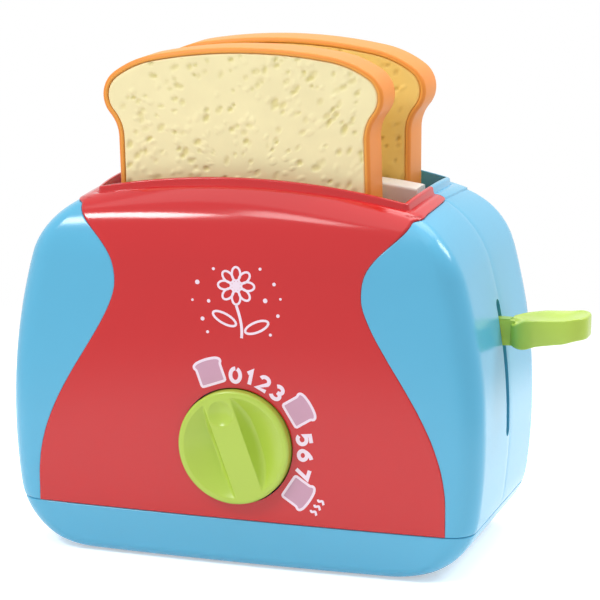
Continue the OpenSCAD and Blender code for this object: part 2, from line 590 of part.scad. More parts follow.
module knob_screw() color(steel) translate([0, cam_y + cam_t + 0.4 + seat + head_h, dial_z])
  rotate([90, 0, 0]) screw(7);

// ---- play bread ----
// outline of a slice from tangent arcs, moved inward by d: foot, neck, ear, shoulder and crown
ear_x0 = ear_w / 2 - ear_r;
ear_z0 = bread_h - ear_drop;
crown_z0 = bread_h - crown_r;
neck_z0 = ear_z0 - sqrt(pow(neck_r + ear_r, 2) - pow(bread_w / 2 + neck_r - ear_x0, 2));
ear_way = norm([ear_x0, ear_z0 - crown_z0]);
rise_along = (pow(crown_r - rise_r, 2) - pow(rise_r - ear_r, 2) + pow(ear_way, 2)) / (2 * ear_way);
rise_off = sqrt(max(0, pow(crown_r - rise_r, 2) - pow(rise_along, 2)));
rise_x = (rise_along * ear_x0 - rise_off * (ear_z0 - crown_z0)) / ear_way;
rise_z = crown_z0 + (rise_along * (ear_z0 - crown_z0) + rise_off * ear_x0) / ear_way;
neck_to = atan2(ear_z0 - neck_z0, ear_x0 - bread_w / 2 - neck_r);
ear_to = atan2(ear_z0 - rise_z, ear_x0 - rise_x);
rise_to = atan2(rise_z - crown_z0, rise_x);
function arc(x, z, r, a, b, n) = [for (j = [0 : n]) let (q = mix(a, b, j / n)) [x + r * cos(q), z + r * sin(q)]];
function slice_half(d) = concat(
  arc(bread_w / 2 - bread_foot, bread_foot, bread_foot - d, -90, 0, 6),
  arc(bread_w / 2 + neck_r, neck_z0, neck_r + d, 180, neck_to, 6),
  [for (p = arc(ear_x0, ear_z0, ear_r - d, neck_to - 180, ear_to, 9)) if (p[0] > ear_x0 / 2) p],
  arc(rise_x, rise_z, rise_r - d, ear_to, rise_to, 4),
  arc(0, crown_z0, crown_r - d, rise_to, 90, 6));
module slice_face(d) {
  half = slice_half(d);
  n = len(half);
  outline = [for (i = [0 : n - 1]) if (i == 0 || norm(half[i] - half[i - 1]) > 0.05) half[i]];
  m = len(outline);
  polygon(concat(outline, [for (i = [m - 2 : -1 : 0]) [-outline[i][0], outline[i][1]]]));
}
module slice(x, y, part, tilt) translate([x, y + bread_t / 2, bread_z + bread_h / 2]) rotate([0, -tilt, 0])
  translate([0, 0, -bread_h / 2]) rotate([90, 0, 0]) {
  if (part == "crust") linear_extrude(height = bread_t) difference() {
    slice_face(0);
    slice_face(crust_w);
  }
  else translate([0, 0, crumb_in]) linear_extrude(height = bread_t - 2 * crumb_in) slice_face(crust_w + seat);
}
module bread_front_crumb() color(crumb_colour) slice(front_x, -slice_y, "crumb", lean);
module bread_front_crust() color(crust_colour) slice(front_x, -slice_y, "crust", lean);
module bread_rear_crumb() color(crumb_colour) slice(rear_x, slice_y, "crumb", 0);
module bread_rear_crust() color(crust_colour) slice(rear_x, slice_y, "crust", 0);

// ---- fasteners ----
module base_screws() color(steel) for (x = [-screw_x, screw_x], y = [-screw_y, screw_y])
  translate([x, y, foot_proud + seat]) screw(20);
module post_screws() color(steel) for (x = [-post_x, post_x])
  translate([x, 0, foot_proud - seat]) screw(13);
module shell_screws() color(steel) for (x = [-bolt_x, bolt_x], z = bolt_zs)
  translate([x, bolt_y + head_h - seat, z]) rotate([90, 0, 0]) screw(bolt_y + 16);

base_tray();
front_shell();
rear_shell();
front_panel();
slot_divider();
guide_posts();
carriage();
lever_handle();
lever_screw();
lift_spring_left();
lift_spring_right();
latch_hook();
latch_pin();
timer_knob();
knob_shaft();
release_cam();
knob_screw();
shaft_ring();
bread_front_crumb();
bread_front_crust();
bread_rear_crumb();
bread_rear_crust();
foot_pads();
base_screws();
shell_screws();
panel_clips();
post_screws();
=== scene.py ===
# %% [markdown]
# # Toy toaster
# The look of a children's play toaster: a loaf-shaped blue body with a red hourglass panel, a lime dial
# and lever and two play bread slices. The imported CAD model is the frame: every piece below rides on one
# of its bodies, so the poses move the finished pieces as they move the CAD.

# %% Load the frame
import math
import random
import bpy
import bmesh
import numpy as np
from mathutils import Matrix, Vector, kdtree


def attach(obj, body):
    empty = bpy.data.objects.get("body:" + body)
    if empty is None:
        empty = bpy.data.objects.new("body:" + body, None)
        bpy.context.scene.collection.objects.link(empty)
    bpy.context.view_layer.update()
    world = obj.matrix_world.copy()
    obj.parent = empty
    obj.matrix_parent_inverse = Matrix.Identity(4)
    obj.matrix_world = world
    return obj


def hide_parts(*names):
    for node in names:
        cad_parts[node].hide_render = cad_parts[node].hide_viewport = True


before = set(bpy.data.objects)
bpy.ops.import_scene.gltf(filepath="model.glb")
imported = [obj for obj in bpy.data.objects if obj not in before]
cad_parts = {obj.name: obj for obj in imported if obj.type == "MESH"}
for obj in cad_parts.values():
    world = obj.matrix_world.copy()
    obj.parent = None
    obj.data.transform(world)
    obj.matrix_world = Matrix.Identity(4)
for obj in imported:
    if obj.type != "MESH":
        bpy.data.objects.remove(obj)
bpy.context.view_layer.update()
scene = bpy.context.scene

# %% [markdown]
# ## Small tools
# All shapes are worked out in millimetres and scaled to metres when the mesh is made. A `Builder` gathers
# the sheets and tubes of one piece. `plain` makes the piece of them: it merges equal points, so that
# seams close, turns the normals outward and marks sharp edges by their angle. `cut` takes a hole out of a
# finished piece, and `settle` tells the frame which body the piece rides on and which CAD nodes it stands
# for.

# %% Mesh helpers
MM = 0.001
MERGE, SLIVER = 0.000008, 0.000004  # in metres: points that are one, edges that are none
SHARP = 38                          # degrees between two faces from which their edge is drawn sharp

def sind(a):
    return math.sin(math.radians(a))

def cosd(a):
    return math.cos(math.radians(a))

def mix(a, b, t):
    """The value at share t of the way from a to b."""
    return a + (b - a) * t

def smooth(t):
    """0 below t = 0, 1 above t = 1, with a soft start and a soft end between them."""
    t = max(0.0, min(1.0, t))
    return t * t * (3 - 2 * t)

def steps(a, b, n):
    """n equal steps from a to b, both ends with them."""
    return [mix(a, b, j / n) for j in range(n + 1)]

def roll(d, r):
    """How far a surface sinks at distance d from an edge rounded by r."""
    return r - math.sqrt(max(0.0, r * r - (r - d) ** 2)) if d < r else 0.0

class Builder:
    """Gathers the points and faces of one piece."""
    def __init__(self):
        self.verts, self.faces = [], []

    def grid(self, rows, wrap=False, flip=False):
        """A sheet of quads between rows of points; with wrap, each row is a closed ring."""
        base, n = len(self.verts), len(rows[0])
        for row in rows:
            self.verts.extend(row)
        for r in range(len(rows) - 1):
            low, high = base + r * n, base + (r + 1) * n
            for c in range(n if wrap else n - 1):
                after = (c + 1) % n
                quad = (low + c, low + after, high + after, high + c)
                self.faces.append(quad[::-1] if flip else quad)
        return self

    def fan(self, ring):
        """Triangles from a closed ring to its centre."""
        base, n = len(self.verts), len(ring)
        centre = [sum(p[a] for p in ring) / n for a in range(len(ring[0]))]
        self.verts.extend(ring)
        self.verts.append(centre)
        self.faces.extend((base + c, base + (c + 1) % n, base + n) for c in range(n))
        return self

    def tube(self, rings):
        """A closed tube of closed rings with a fan over each end."""
        return self.grid(rings, wrap=True).fan(rings[0]).fan(rings[-1])

    def slab(self, outer, inner):
        """Two sheets of the same grid, joined along their border."""
        self.grid(outer).grid(inner, flip=True)
        self.grid([outer[0], inner[0]]).grid([outer[-1], inner[-1]])
        self.grid([[row[0] for row in outer], [row[0] for row in inner]])
        return self.grid([[row[-1] for row in outer], [row[-1] for row in inner]])

def put(name, data):
    """A new object in the scene."""
    obj = bpy.data.objects.new(name, data)
    scene.collection.objects.link(obj)
    return obj

def shade(mesh, sharp):
    """Close the seams, turn the normals outward, mark the sharp edges and count the open ones."""
    bm = bmesh.new()
    bm.from_mesh(mesh)
    bmesh.ops.remove_doubles(bm, verts=bm.verts, dist=MERGE)
    bmesh.ops.dissolve_degenerate(bm, edges=bm.edges, dist=SLIVER)
    bmesh.ops.recalc_face_normals(bm, faces=bm.faces)
    for edge in bm.edges:
        edge.smooth = not (len(edge.link_faces) == 2 and edge.calc_face_angle(0) > math.radians(sharp))
    for face in bm.faces:
        face.smooth = True
    open_edges = sum(1 for e in bm.edges if len(e.link_faces) != 2)
    bm.to_mesh(mesh)
    bm.free()
    return open_edges

def plain(name, builder, finish, sharp=SHARP):
    """An object of the gathered points; a fourth value of a point is its tone."""
    mesh = bpy.data.meshes.new(name)
    mesh.from_pydata([[c * MM for c in p[:3]] for p in builder.verts], [], builder.faces)
    if len(builder.verts[0]) > 3:
        tone = mesh.attributes.new("tone", "FLOAT", "POINT")
        tone.data.foreach_set("value", [p[3] for p in builder.verts])
    open_edges = shade(mesh, sharp)
    mesh.materials.append(finish)
    print(f"{name}: {len(mesh.polygons)} faces, {open_edges} open edges")
    return put(name, mesh)

def settle(obj, body, nodes=()):
    """The piece rides on body and stands for the CAD nodes, which are hidden."""
    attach(obj, body)
    if nodes:
        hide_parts(*nodes)

def cut(obj, tool, sharp=SHARP):
    """Take the tool's volume out of a piece and remove the tool."""
    modifier = obj.modifiers.new("cut", "BOOLEAN")
    modifier.operation = "DIFFERENCE"
    modifier.solver = "EXACT"
    modifier.object = tool
    view = bpy.context.evaluated_depsgraph_get()
    mesh = bpy.data.meshes.new_from_object(obj.evaluated_get(view))
    obj.modifiers.clear()
    old = obj.data
    obj.data = mesh
    mesh.name = obj.name
    finish = old.materials[0]
    bpy.data.meshes.remove(old)
    bpy.data.objects.remove(tool)
    mesh.materials.clear()
    mesh.materials.append(finish)
    for face in mesh.polygons:
        face.material_index = 0
    print(f"{obj.name} cut: {len(mesh.polygons)} faces, {shade(mesh, sharp)} open edges")

print("an edge rounded by 1 mm sinks", round(roll(0.5, 1.0), 3), "mm at 0.5 mm from its border")

# %% [markdown]
# ## Finishes
# Moulded plastic is never one flat colour: the pigment drifts a little, the gloss changes where hands and
# moulds touched it, and a fine ripple like orange peel breaks the reflections. All of it is noise on
# Object coordinates, so it stays on the piece when the piece moves.

# %% Plastic material
GLOSS_LOW, GLOSS_HIGH = 0.93, 1.07     # how far the roughness wanders about its mean
PEEL_SCALE, PEEL_DEEP = 900.0, 0.0003  # how fine and, in metres, how deep the ripple is

def add_node(tree, kind, values=(), **settings):
    """A shader node with its settings and the values of its inputs."""
    node = tree.nodes.new("ShaderNode" + kind)
    for key, value in settings.items():
        setattr(node, key, value)
    for key, value in dict(values).items():
        node.inputs[key].default_value = value
    return node

def material(name, colour, rough=0.25, drift=0.02, ripple=0.01, scale=30, metal=0.0, spec=0.5):
    """A moulded finish: drift, gloss and ripple are noise round the given colour and roughness."""
    mat = bpy.data.materials.new(name)
    mat.use_nodes = True
    nt = mat.node_tree
    link = nt.links.new
    shader = nt.nodes["Principled BSDF"]
    coords = add_node(nt, "TexCoord")
    cloud = add_node(nt, "TexNoise", {"Scale": scale, "Detail": 2})
    link(coords.outputs["Object"], cloud.inputs["Vector"])
    tone = add_node(nt, "Mix", data_type="RGBA")
    tone.inputs["A"].default_value = [c * (1 - drift) for c in colour] + [1]
    tone.inputs["B"].default_value = [min(1, c * (1 + drift)) for c in colour] + [1]
    link(cloud.outputs["Fac"], tone.inputs["Factor"])
    link(tone.outputs["Result"], shader.inputs["Base Color"])
    gloss = add_node(nt, "MapRange", {"To Min": rough * GLOSS_LOW, "To Max": rough * GLOSS_HIGH})
    link(cloud.outputs["Fac"], gloss.inputs["Value"])
    link(gloss.outputs["Result"], shader.inputs["Roughness"])
    peel = add_node(nt, "TexNoise", {"Scale": PEEL_SCALE})
    link(coords.outputs["Object"], peel.inputs["Vector"])
    bump = add_node(nt, "Bump", {"Strength": ripple, "Distance": PEEL_DEEP})
    link(peel.outputs["Fac"], bump.inputs["Height"])
    link(bump.outputs["Normal"], shader.inputs["Normal"])
    shader.inputs["Specular IOR Level"].default_value = spec
    shader.inputs["Metallic"].default_value = metal
    return mat

blue = material("Blue plastic", (0.10, 0.45, 0.68), rough=0.2)
red = material("Red plastic", (0.60, 0.014, 0.017), rough=0.12)
lime = material("Lime plastic", (0.46, 0.62, 0.075), rough=0.24)
# a darker copy of the lime: painted shade for the carriage inside the body
lime_painted_shade = material("Lime plastic, painted shade", (0.36, 0.56, 0.06), rough=0.3)
cream = material("Cream plastic", (0.84, 0.80, 0.74), rough=0.4)
steel = material("Steel", (0.55, 0.56, 0.58), rough=0.3, metal=1.0)
rubber = material("Rubber", (0.03, 0.03, 0.035), rough=0.7, spec=0.3)
print_ink = material("Pale print", (0.90, 0.74, 0.84), rough=0.35)
print_fill = material("Greyed print", (0.60, 0.33, 0.44), rough=0.35)
print("materials:", len(bpy.data.materials))

# %% [markdown]
# ## The body as a family of rings
# The real body is moulded in two halves that curve in every direction at once: the sides bulge, the
# shoulders round off, the front and the rear bow and the top is crowned. So the whole upper body is one
# family of rounded rings. `k` runs from the seam with the base (0) by the shoulder line (1) to the edge
# of the opening (2), `s` is the way along a ring from the middle of the front and `i` is how far below
# the skin a point lies. The panel, the shells and the rim all take their points from here, so their edges
# follow each other exactly, which separate rounded boxes would not do.

# %% Ring family
BODY_HALF, BODY_DEEP = 95, 48.5                # half the length and half the depth
BELLY_Z, SIDE_R = 54, 226                      # height of the sides' widest point, radius of their bulge
CORNER_R, FOOT_PROUD, SEAM_Z = 28, 0.8, 19     # bottom corners, air under the tray, seam with the base
SHOULDER_R, SHOULDER_FROM = 38.5, 15.8         # shoulders seen from the front, angle where they begin
TOP_R, TOP_FROM, CROWN_Y = 36, 116.7, 1.6      # round to the top seen from the side, its start, crown
BOW, END_BOW = 2, 1.5                          # how far the long faces and the opening's ends bow
EDGE_R, MOUTH_R = 10, 3.5                      # upright edges of the body, corners of the opening
MOUTH_HALF, MOUTH_DEEP, LIP_R = 63.1, 33, 1.9  # half the opening each way, corners of the lip round it
WALL, PANEL_T = 3.2, 1.8
DIAL_Z = 48.2
side_x = BODY_HALF - SIDE_R
ear_x = side_x + (SIDE_R - SHOULDER_R) * cosd(SHOULDER_FROM)
ear_z = BELLY_Z + (SIDE_R - SHOULDER_R) * sind(SHOULDER_FROM)
low_z = FOOT_PROUD + CORNER_R
low_x = side_x + math.sqrt((SIDE_R - CORNER_R) ** 2 - (low_z - BELLY_Z) ** 2)
low_top = low_z + CORNER_R * math.sin(math.atan2(low_z - BELLY_Z, low_x - side_x))
round_y = BODY_DEEP - TOP_R
shoulder_to = math.degrees(math.acos((MOUTH_HALF - ear_x) / SHOULDER_R))
top_to = math.degrees(math.acos((MOUTH_DEEP - round_y) / TOP_R))

def side_at(z, i=0):
    """Half length of the body at height z."""
    if z < low_top:
        return low_x + math.sqrt(max(0, (CORNER_R - i) ** 2 - (z - low_z) ** 2))
    return side_x + math.sqrt((SIDE_R - i) ** 2 - (z - BELLY_Z) ** 2)

def row_ze(k, i=0):
    """Height of ring k at the ends of the body."""
    if k <= 1:
        return mix(SEAM_Z, ear_z + (SHOULDER_R - i) * sind(SHOULDER_FROM), k)
    return ear_z + (SHOULDER_R - i) * sind(mix(SHOULDER_FROM, shoulder_to, k - 1))

def row_zf(k, i=0):
    """Height of ring k in the middle of the front."""
    return mix(SEAM_Z, TOP_FROM, k) if k <= 1 else TOP_FROM + (TOP_R - i) * sind(mix(0, top_to, k - 1))

def row_w(k, i=0):
    """Half length of ring k."""
    if k <= 1:
        return side_at(row_ze(k, i), i)
    return ear_x + (SHOULDER_R - i) * cosd(mix(SHOULDER_FROM, shoulder_to, k - 1))

def row_d(k, i=0):
    """Half depth of ring k."""
    return BODY_DEEP - i if k <= 1 else round_y + (TOP_R - i) * cosd(mix(0, top_to, k - 1))

def row_rc(k):
    """Corner radius of ring k in plan."""
    return EDGE_R if k <= 1 else mix(EDGE_R, MOUTH_R, k - 1)

def ring_xy(w, d, r, i, t):
    """Plan of half a ring: straight for |t| up to 1, corner up to 2, end face up to 3."""
    u, s = abs(t), -1 if t < 0 else 1
    if u <= 1:
        return s * u * (w - r), -(d - i)
    if u <= 2:
        return s * (w - r + (r - i) * sind(90 * (u - 1))), -(d - r) - (r - i) * cosd(90 * (u - 1))
    return s * (w - i), -(d - r) * (3 - u)

def bowed(x, y, w, d, end):
    """The same point with the long faces and the ends bowed."""
    y += BOW * (x / w) ** 2 * min(1, abs(y) / d) ** 3
    return x * (1 - end / w * (y / d) ** 2 * (x / w) ** 2), y

def lengths(k):
    """Lengths of half the front, the corner and half the end of ring k."""
    w, d, r = row_w(k), row_d(k), row_rc(k)
    return w - r, r * math.pi / 2, d - r

def total(k):
    """Length of half of ring k."""
    return sum(lengths(k))

def station(k, s):
    """The t of ring_xy that lies s millimetres along ring k."""
    a, b, c = lengths(k)
    u = abs(s)
    t = u / a if u <= a else 1 + (u - a) / b if u <= a + b else 2 + (u - a - b) / c
    return math.copysign(min(3, t), s)

def skin(k, i, s, back=False):
    """Point of the body: ring k, i below the surface, s along the ring."""
    w, d, r, t = row_w(k), row_d(k), row_rc(k), station(k, s)
    x0, y0 = ring_xy(row_w(k, i) + i, row_d(k, i) + i, r, i, t)
    x, y = bowed(x0, y0, w, d, END_BOW * max(0, k - 1))
    ze, crown = row_ze(k, i), 0 if k <= 1 else CROWN_Y * (k - 1) ** 2
    rise = row_zf(k, i) - ze + crown
    z = ze + rise * (1 - (x0 / row_w(k, i)) ** 2) - crown * (y0 / row_d(k, i)) ** 2
    return (x, -y if back else y, z)

def rim(o, dz, t, back=False):
    """Point beside the opening's edge: o outward, dz up, at ring station t from -3 to 3."""
    w, d = MOUTH_HALF, MOUTH_DEEP
    x0, y0 = ring_xy(w, d, LIP_R, -o, t)
    x, y = bowed(x0, y0, w, d, END_BOW)
    ze = row_ze(2)
    z = ze + (row_zf(2) - ze + CROWN_Y) * (1 - (x0 / w) ** 2) - CROWN_Y * (y0 / d) ** 2 + dz
    return (x, -y if back else y, z)

print("half length at the seam", round(row_w(0), 1), "mm, height of the opening", round(row_zf(2), 1), "mm")

# %% [markdown]
# ## The hourglass line
# The border of the red panel: narrow at the neck, wide at the seam, and flaring at the top into two lobes
# that run back over the shoulder to the rim. It is drawn by two cosine waves that meet at the neck, so it
# has no corner there. A search tree of points along it gives every mesh point its distance from the
# border, which rounds the border by the same radius all the way.

# %% Hourglass line
NECK_HALF, NECK_Z = 49, 108                       # half the width of the neck, and its height
FOOT_HALF, FOOT_REACH, FOOT_BEND = 82, 1.1, 0.78  # lower wave: half width at the seam, its speed and bend
FLARE_HALF, FLARE_K, FLARE_BEND = 66.5, 1.7, 1.4  # upper wave: half width at ring FLARE_K, its bend
LOBE_FROM, LOBE_K, LOBE_END = 1.6, 1.815, 1.85    # rings where the lobe begins, turns and reaches the end
LOBE_PUSH, LOBE_BEND = 12, 10                     # how far and how suddenly its corner is pushed out
LOBE_CLOSE = 2.2                                  # bend of the way from its corner to the end

def wave(a, b, t):
    """From a to b along half a cosine wave."""
    return mix(a, b, (1 - cosd(180 * t)) / 2)

def glass(z):
    """Half the width of the hourglass at height z."""
    if z < NECK_Z:
        t = (NECK_Z - z) / (NECK_Z - SEAM_Z)
        return wave(NECK_HALF, FOOT_HALF, min(1, FOOT_REACH * t ** FOOT_BEND))
    t = min(1, (z - NECK_Z) / (row_zf(FLARE_K) - NECK_Z))
    return wave(NECK_HALF, FLARE_HALF, t ** FLARE_BEND)

def panel_edge(k):
    """Way along ring k at which the red panel ends."""
    if k >= LOBE_END:
        return total(k)
    q = min(k, LOBE_K)
    crown = 0 if q <= 1 else CROWN_Y * (q - 1) ** 2
    push = LOBE_PUSH * max(0, (q - LOBE_FROM) / (LOBE_K - LOBE_FROM)) ** LOBE_BEND
    e = glass(mix(row_ze(q), row_zf(q), 0.6) - crown / 2) + push
    if k <= LOBE_K:
        return e
    v = (k - LOBE_K) / (LOBE_END - LOBE_K)
    return mix(e, total(k), 1 - (1 - v) ** LOBE_CLOSE)

border = []
for k in steps(0, LOBE_FROM, 900) + steps(LOBE_FROM, LOBE_K, 260) + steps(LOBE_K, LOBE_END, 700):
    border.append(skin(k, 0, panel_edge(k)))
tree = kdtree.KDTree(len(border))
for n, p in enumerate(border):
    tree.insert(p, n)
tree.balance()

def border_gap(k, s):
    """Distance of a skin point from the hourglass line."""
    x, y, z = skin(k, 0, abs(s))
    return tree.find((x, y, z))[2]

FLANK_UP, LOBE_UP = 0.2, 0.65   # how far the panel stands above the blue on the flanks and the lobes
UP_FROM, LEVEL_FROM = 1.3, 1.9  # rings where the lobes begin to stand up and to sink to the rim

def rim_fade(k):
    """1 over the body, 0 at the edge of the opening."""
    return 1 - smooth((k - LEVEL_FROM) / 0.1)

def panel_rise(k):
    """How far the panel stands above the blue at ring k."""
    return mix(FLANK_UP, LOBE_UP, smooth((k - UP_FROM) / 0.3)) * rim_fade(k)

print("half the hourglass near the neck and at the lobes:", [round(panel_edge(k), 1) for k in (0.9, LOBE_K)])

# %% [markdown]
# ## Front shell
# The blue half shell beside and behind the panel. The real one is injection moulded, with a recess in
# which the panel lies, so its skin drops by the panel's thickness inside the hourglass line. It is one
# plate: an outer sheet with a rounded border and an inner sheet, joined all round. The slot for the lever
# and the hole behind the dial are cut out afterwards, as a maker would leave them out of the mould; the
# slot lies right at the plane where the shell meets the rear one.

# %% Front shell
ROWS = [0.0, 0.0012, 0.0045, 0.008] + steps(0.02, 1, 40)  # fine at the seam, to show its round
ROWS += steps(1.015, 1.64, 36) + steps(1.645, 1.8, 24)
ROWS += steps(1.803, 1.856, 36) + steps(1.865, 1.97, 9)  # fine at the lobes' ends
SEAM_ROLL, MEET_ROLL, RECESS_ROLL = 0.7, 0.15, 0.45      # rounds at the seams and the recess
UNDER_PANEL = 0.3                                        # air behind the panel
SLOT_Y, SLOT_HALF, SLOT_LOW, SLOT_HIGH = -2.75, 2.65, 48.3, 101.9
THROUGH_SIDE, THROUGH_FACE = (80, 110), (-60, -38)  # reach of the cutters
WELL_R = 23.4

def seam_roll(k):
    """Sink of the skin close to the seam with the base."""
    return roll(k * (row_ze(1) - SEAM_Z), SEAM_ROLL)

def mirrored(half):
    """A whole row of the half that runs from the right to the middle."""
    return half + [(-x, y, z) for x, y, z in half[:-1]][::-1]

def shell_row(k, inner):
    """A row of the front shell: each half is finer towards the hourglass line and goes on below the panel."""
    edge, end = panel_edge(k), total(k)
    half = []
    for f in steps(0, 1, 50):
        s = edge + max(0.0, end - edge) * (1 - f) ** 2
        sink = max(seam_roll(k), roll(max(0.0, end - s), MEET_ROLL), roll(border_gap(k, s), RECESS_ROLL))
        half.append(skin(k, WALL if inner else sink, s))
    deep = WALL if inner else PANEL_T + UNDER_PANEL
    half += [skin(k, deep, edge * f) for f in steps(0.999, 0, 30)]
    return mirrored(half)

def plate(row):
    """The outer and the inner sheet of a plate over all ROWS, joined along their border."""
    return Builder().slab([row(k, False) for k in ROWS], [row(k, True) for k in ROWS])

front_shell = plain("Front_Shell", plate(shell_row), blue)

def slot_cutter():
    """An upright bar with round ends that goes in through the right side."""
    y, r, z0, z1 = SLOT_Y, SLOT_HALF, SLOT_LOW, SLOT_HIGH
    ring = [(y + r * sind(a), z1 - r + r * cosd(a)) for a in steps(-90, 90, 16)]
    ring += [(y + r * sind(a), z0 + r + r * cosd(a)) for a in steps(90, 270, 16)]
    return Builder().tube([[(x, b, c) for b, c in ring] for x in THROUGH_SIDE])

def well_cutter(r, n=192):
    """A round bar that goes in through the front where the dial sits."""
    turns = [360 * j / n for j in range(n)]
    return Builder().tube([[(r * sind(a), y, DIAL_Z + r * cosd(a)) for a in turns] for y in THROUGH_FACE])

cut(front_shell, plain("tool", slot_cutter(), blue))
cut(front_shell, plain("tool", well_cutter(WELL_R), blue))
settle(front_shell, "body", ["front_shell"])

# %% [markdown]
# ## Front panel
# The red hourglass is a separate moulding, snapped into the recess before the shells are screwed
# together, and it wraps over the shoulder to the opening. Its rows end at the hourglass line, finer
# towards it, and its border is rounded by a small radius all the way, so it catches a thin line of light
# beside the blue. The raised lip round the front half of the opening belongs to it: one cross-section
# drawn along the opening's edge.

# %% Front panel
PANEL_ROLL = 0.5
LANE_FINE = (0, 0.05, 0.12, 0.22, 0.36, 0.55, 0.8)
PANEL_HOLE_R = 22.75

def panel_row(k, inner):
    """A row of the panel, from its right border to the left one."""
    edge = panel_edge(k)
    lanes = [edge - d for d in LANE_FINE] + steps(edge - 1.3, edge - 4, 6) + steps(edge - 5, 0, 56)
    half = []
    for s in lanes:
        sink = max(seam_roll(k), roll(border_gap(k, s), PANEL_ROLL)) - panel_rise(k)
        half.append(skin(k, PANEL_T if inner else sink, s))
    return mirrored(half)

# the lip's cross-section: outward from the opening's edge, and up
COLLAR = [(1.2, -1.0), (0.85, -0.1), (0.62, 0.35), (0.45, 1.0), (0.35, 1.7), (0.25, 2.1), (0.05, 2.33),
          (-0.2, 2.4), (-0.9, 2.4), (-1.15, 2.33), (-1.28, 2.15), (-1.3, 1.9), (-1.3, -6.3), (-0.4, -6.3),
          (-0.4, -2.5), (0.2, -2)]

def collar(back=False):
    """The raised lip round half of the opening, as one closed tube."""
    turns = steps(-3, -2, 16) + steps(-1.94, -1.06, 10) + steps(-1, 1, 60)
    turns += steps(1.06, 1.94, 10) + steps(2, 3, 16)
    return [[rim(o, dz, t, back) for o, dz in COLLAR] for t in turns]

front_panel = plain("Front_Panel", plate(panel_row).tube(collar()), red)
cut(front_panel, plain("tool", well_cutter(PANEL_HOLE_R), red))
settle(front_panel, "body", ["front_panel"])

# %% [markdown]
# ## Rear shell
# The rear half is one blue moulding with its own half of the lip. A raised flange repeats the hourglass
# line just inside the lobes, so the two halves look alike from above. It is made like the front shell, of
# the same rings turned to the back.

# %% Rear shell
FLANGE_IN, FLANGE_SPAN = 0.8, 0.2  # width of the flange's soft border, rings over which it rises

def rear_row(k, inner):
    """A row of the rear shell, from its right end to the left one."""
    end, edge = total(k), min(panel_edge(k), total(k))
    lanes = steps(end, edge, 26) + [edge - d for d in (0.4, 0.8, 1.1, 1.4, 2)] + steps(edge - 4, 0, 50)
    half = []
    for s in lanes:
        lift = 0.0
        if k > UP_FROM and s < edge:
            lift = LOBE_UP * smooth((k - UP_FROM) / FLANGE_SPAN) * smooth(border_gap(k, s) / FLANGE_IN)
            lift *= rim_fade(k)
        sink = max(seam_roll(k), roll(max(0.0, end - s), MEET_ROLL)) - lift
        half.append(skin(k, WALL if inner else sink, s, True))
    return mirrored(half)

rear_shell = plain("Rear_Shell", plate(rear_row).tube(collar(True)), blue)
settle(rear_shell, "body", ["rear_shell"])

# %% [markdown]
# ## Base tray
# The tray is a deep pan with generous bottom corners, to which the shells are screwed from below. Its
# upper edge is rounded like the shells' lower edge, so the two make the dark crease that runs round the
# toy. It is one tube of level rings: up the outside, over the edge and down the inside to its floor.

# %% Base tray
BASE_FILLET, SEAM_GAP, TRAY_FLOOR = 4, 0.1, 4.6
FROM_TILT, TO_TILT = 2, 66  # degrees of the bottom corners' arc that the outside follows

def base_ring(z, i):
    """The ring at height z, i inside the skin, from the front's right round to the front again."""
    up = z - FOOT_PROUD
    d, w = BODY_DEEP - roll(up, BASE_FILLET), side_at(z)
    ring = []
    for side in (1, -1):
        turns = steps(2.6, 2, 4) + steps(1.9, 1, 9) + steps(0.96, -0.96, 48)
        turns += steps(-1, -1.9, 9) + steps(-2, -2.6, 4)
        for t in turns:
            x, y = ring_xy(w, d, EDGE_R, i, side * t)
            x, y = bowed(x, y, w, d, 0)
            ring.append((x, y * side, z))
    return ring

rolled = [(SEAM_ROLL * (1 - cosd(a)), SEAM_ROLL * (1 - sind(a))) for a in steps(0, 90, 7)]
climb = [CORNER_R * (1 - cosd(a)) for a in steps(FROM_TILT, TO_TILT, 40)]
base_rows = [base_ring(FOOT_PROUD + up + 0.01, 0) for up in climb if up < SEAM_Z - FOOT_PROUD - 0.75]
base_rows += [base_ring(SEAM_Z - SEAM_GAP - d, i) for i, d in rolled]
base_rows += [base_ring(SEAM_Z - SEAM_GAP, WALL), base_ring(TRAY_FLOOR, WALL)]
settle(plain("Base_Tray", Builder().tube(base_rows), blue), "body", ["base_tray"])

# %% [markdown]
# ## Slot divider
# A cream bar between the two slots, moulded by itself and held at its ends. Its rounded top follows the
# crown of the body, so it is made of one rounded cross-section that rises and sinks along it.

# %% Divider
DIVIDE_HALF, DIVIDE_R, DIVIDE_END = 6.0, 1.2, 58.6       # half its thickness, upper edges, half its length
DIVIDE_TOP, DIVIDE_FOOT, DIVIDE_BOW = 147.5, 124.0, 840  # heights, and how it falls towards its ends

def divider_ring(x):
    """Cross-section of the divider at x."""
    z1 = DIVIDE_TOP - x * x / DIVIDE_BOW
    ring = [(x, -DIVIDE_HALF, DIVIDE_FOOT), (x, DIVIDE_HALF, DIVIDE_FOOT)]
    for side, turn in ((1, steps(0, 90, 6)), (-1, steps(90, 180, 6))):
        ring += [(x, side * (DIVIDE_HALF - DIVIDE_R) + DIVIDE_R * cosd(a), z1 - DIVIDE_R + DIVIDE_R * sind(a))
                 for a in turn]
    return ring

divider = Builder().tube([divider_ring(x) for x in steps(-DIVIDE_END, DIVIDE_END, 60)])
settle(plain("Slot_Divider", divider, cream), "body", ["slot_divider"])

# %% [markdown]
# ## Lever
# The lime lever grows from a thin neck in the side slot to a wide paddle with a dished top for a small
# finger. A short stem behind it closes over the arm of the carriage, to which the real one is screwed.
# The paddle is one outline, shrunk step by step towards its middle over the top and under the bottom, so
# that its edge rounds evenly.

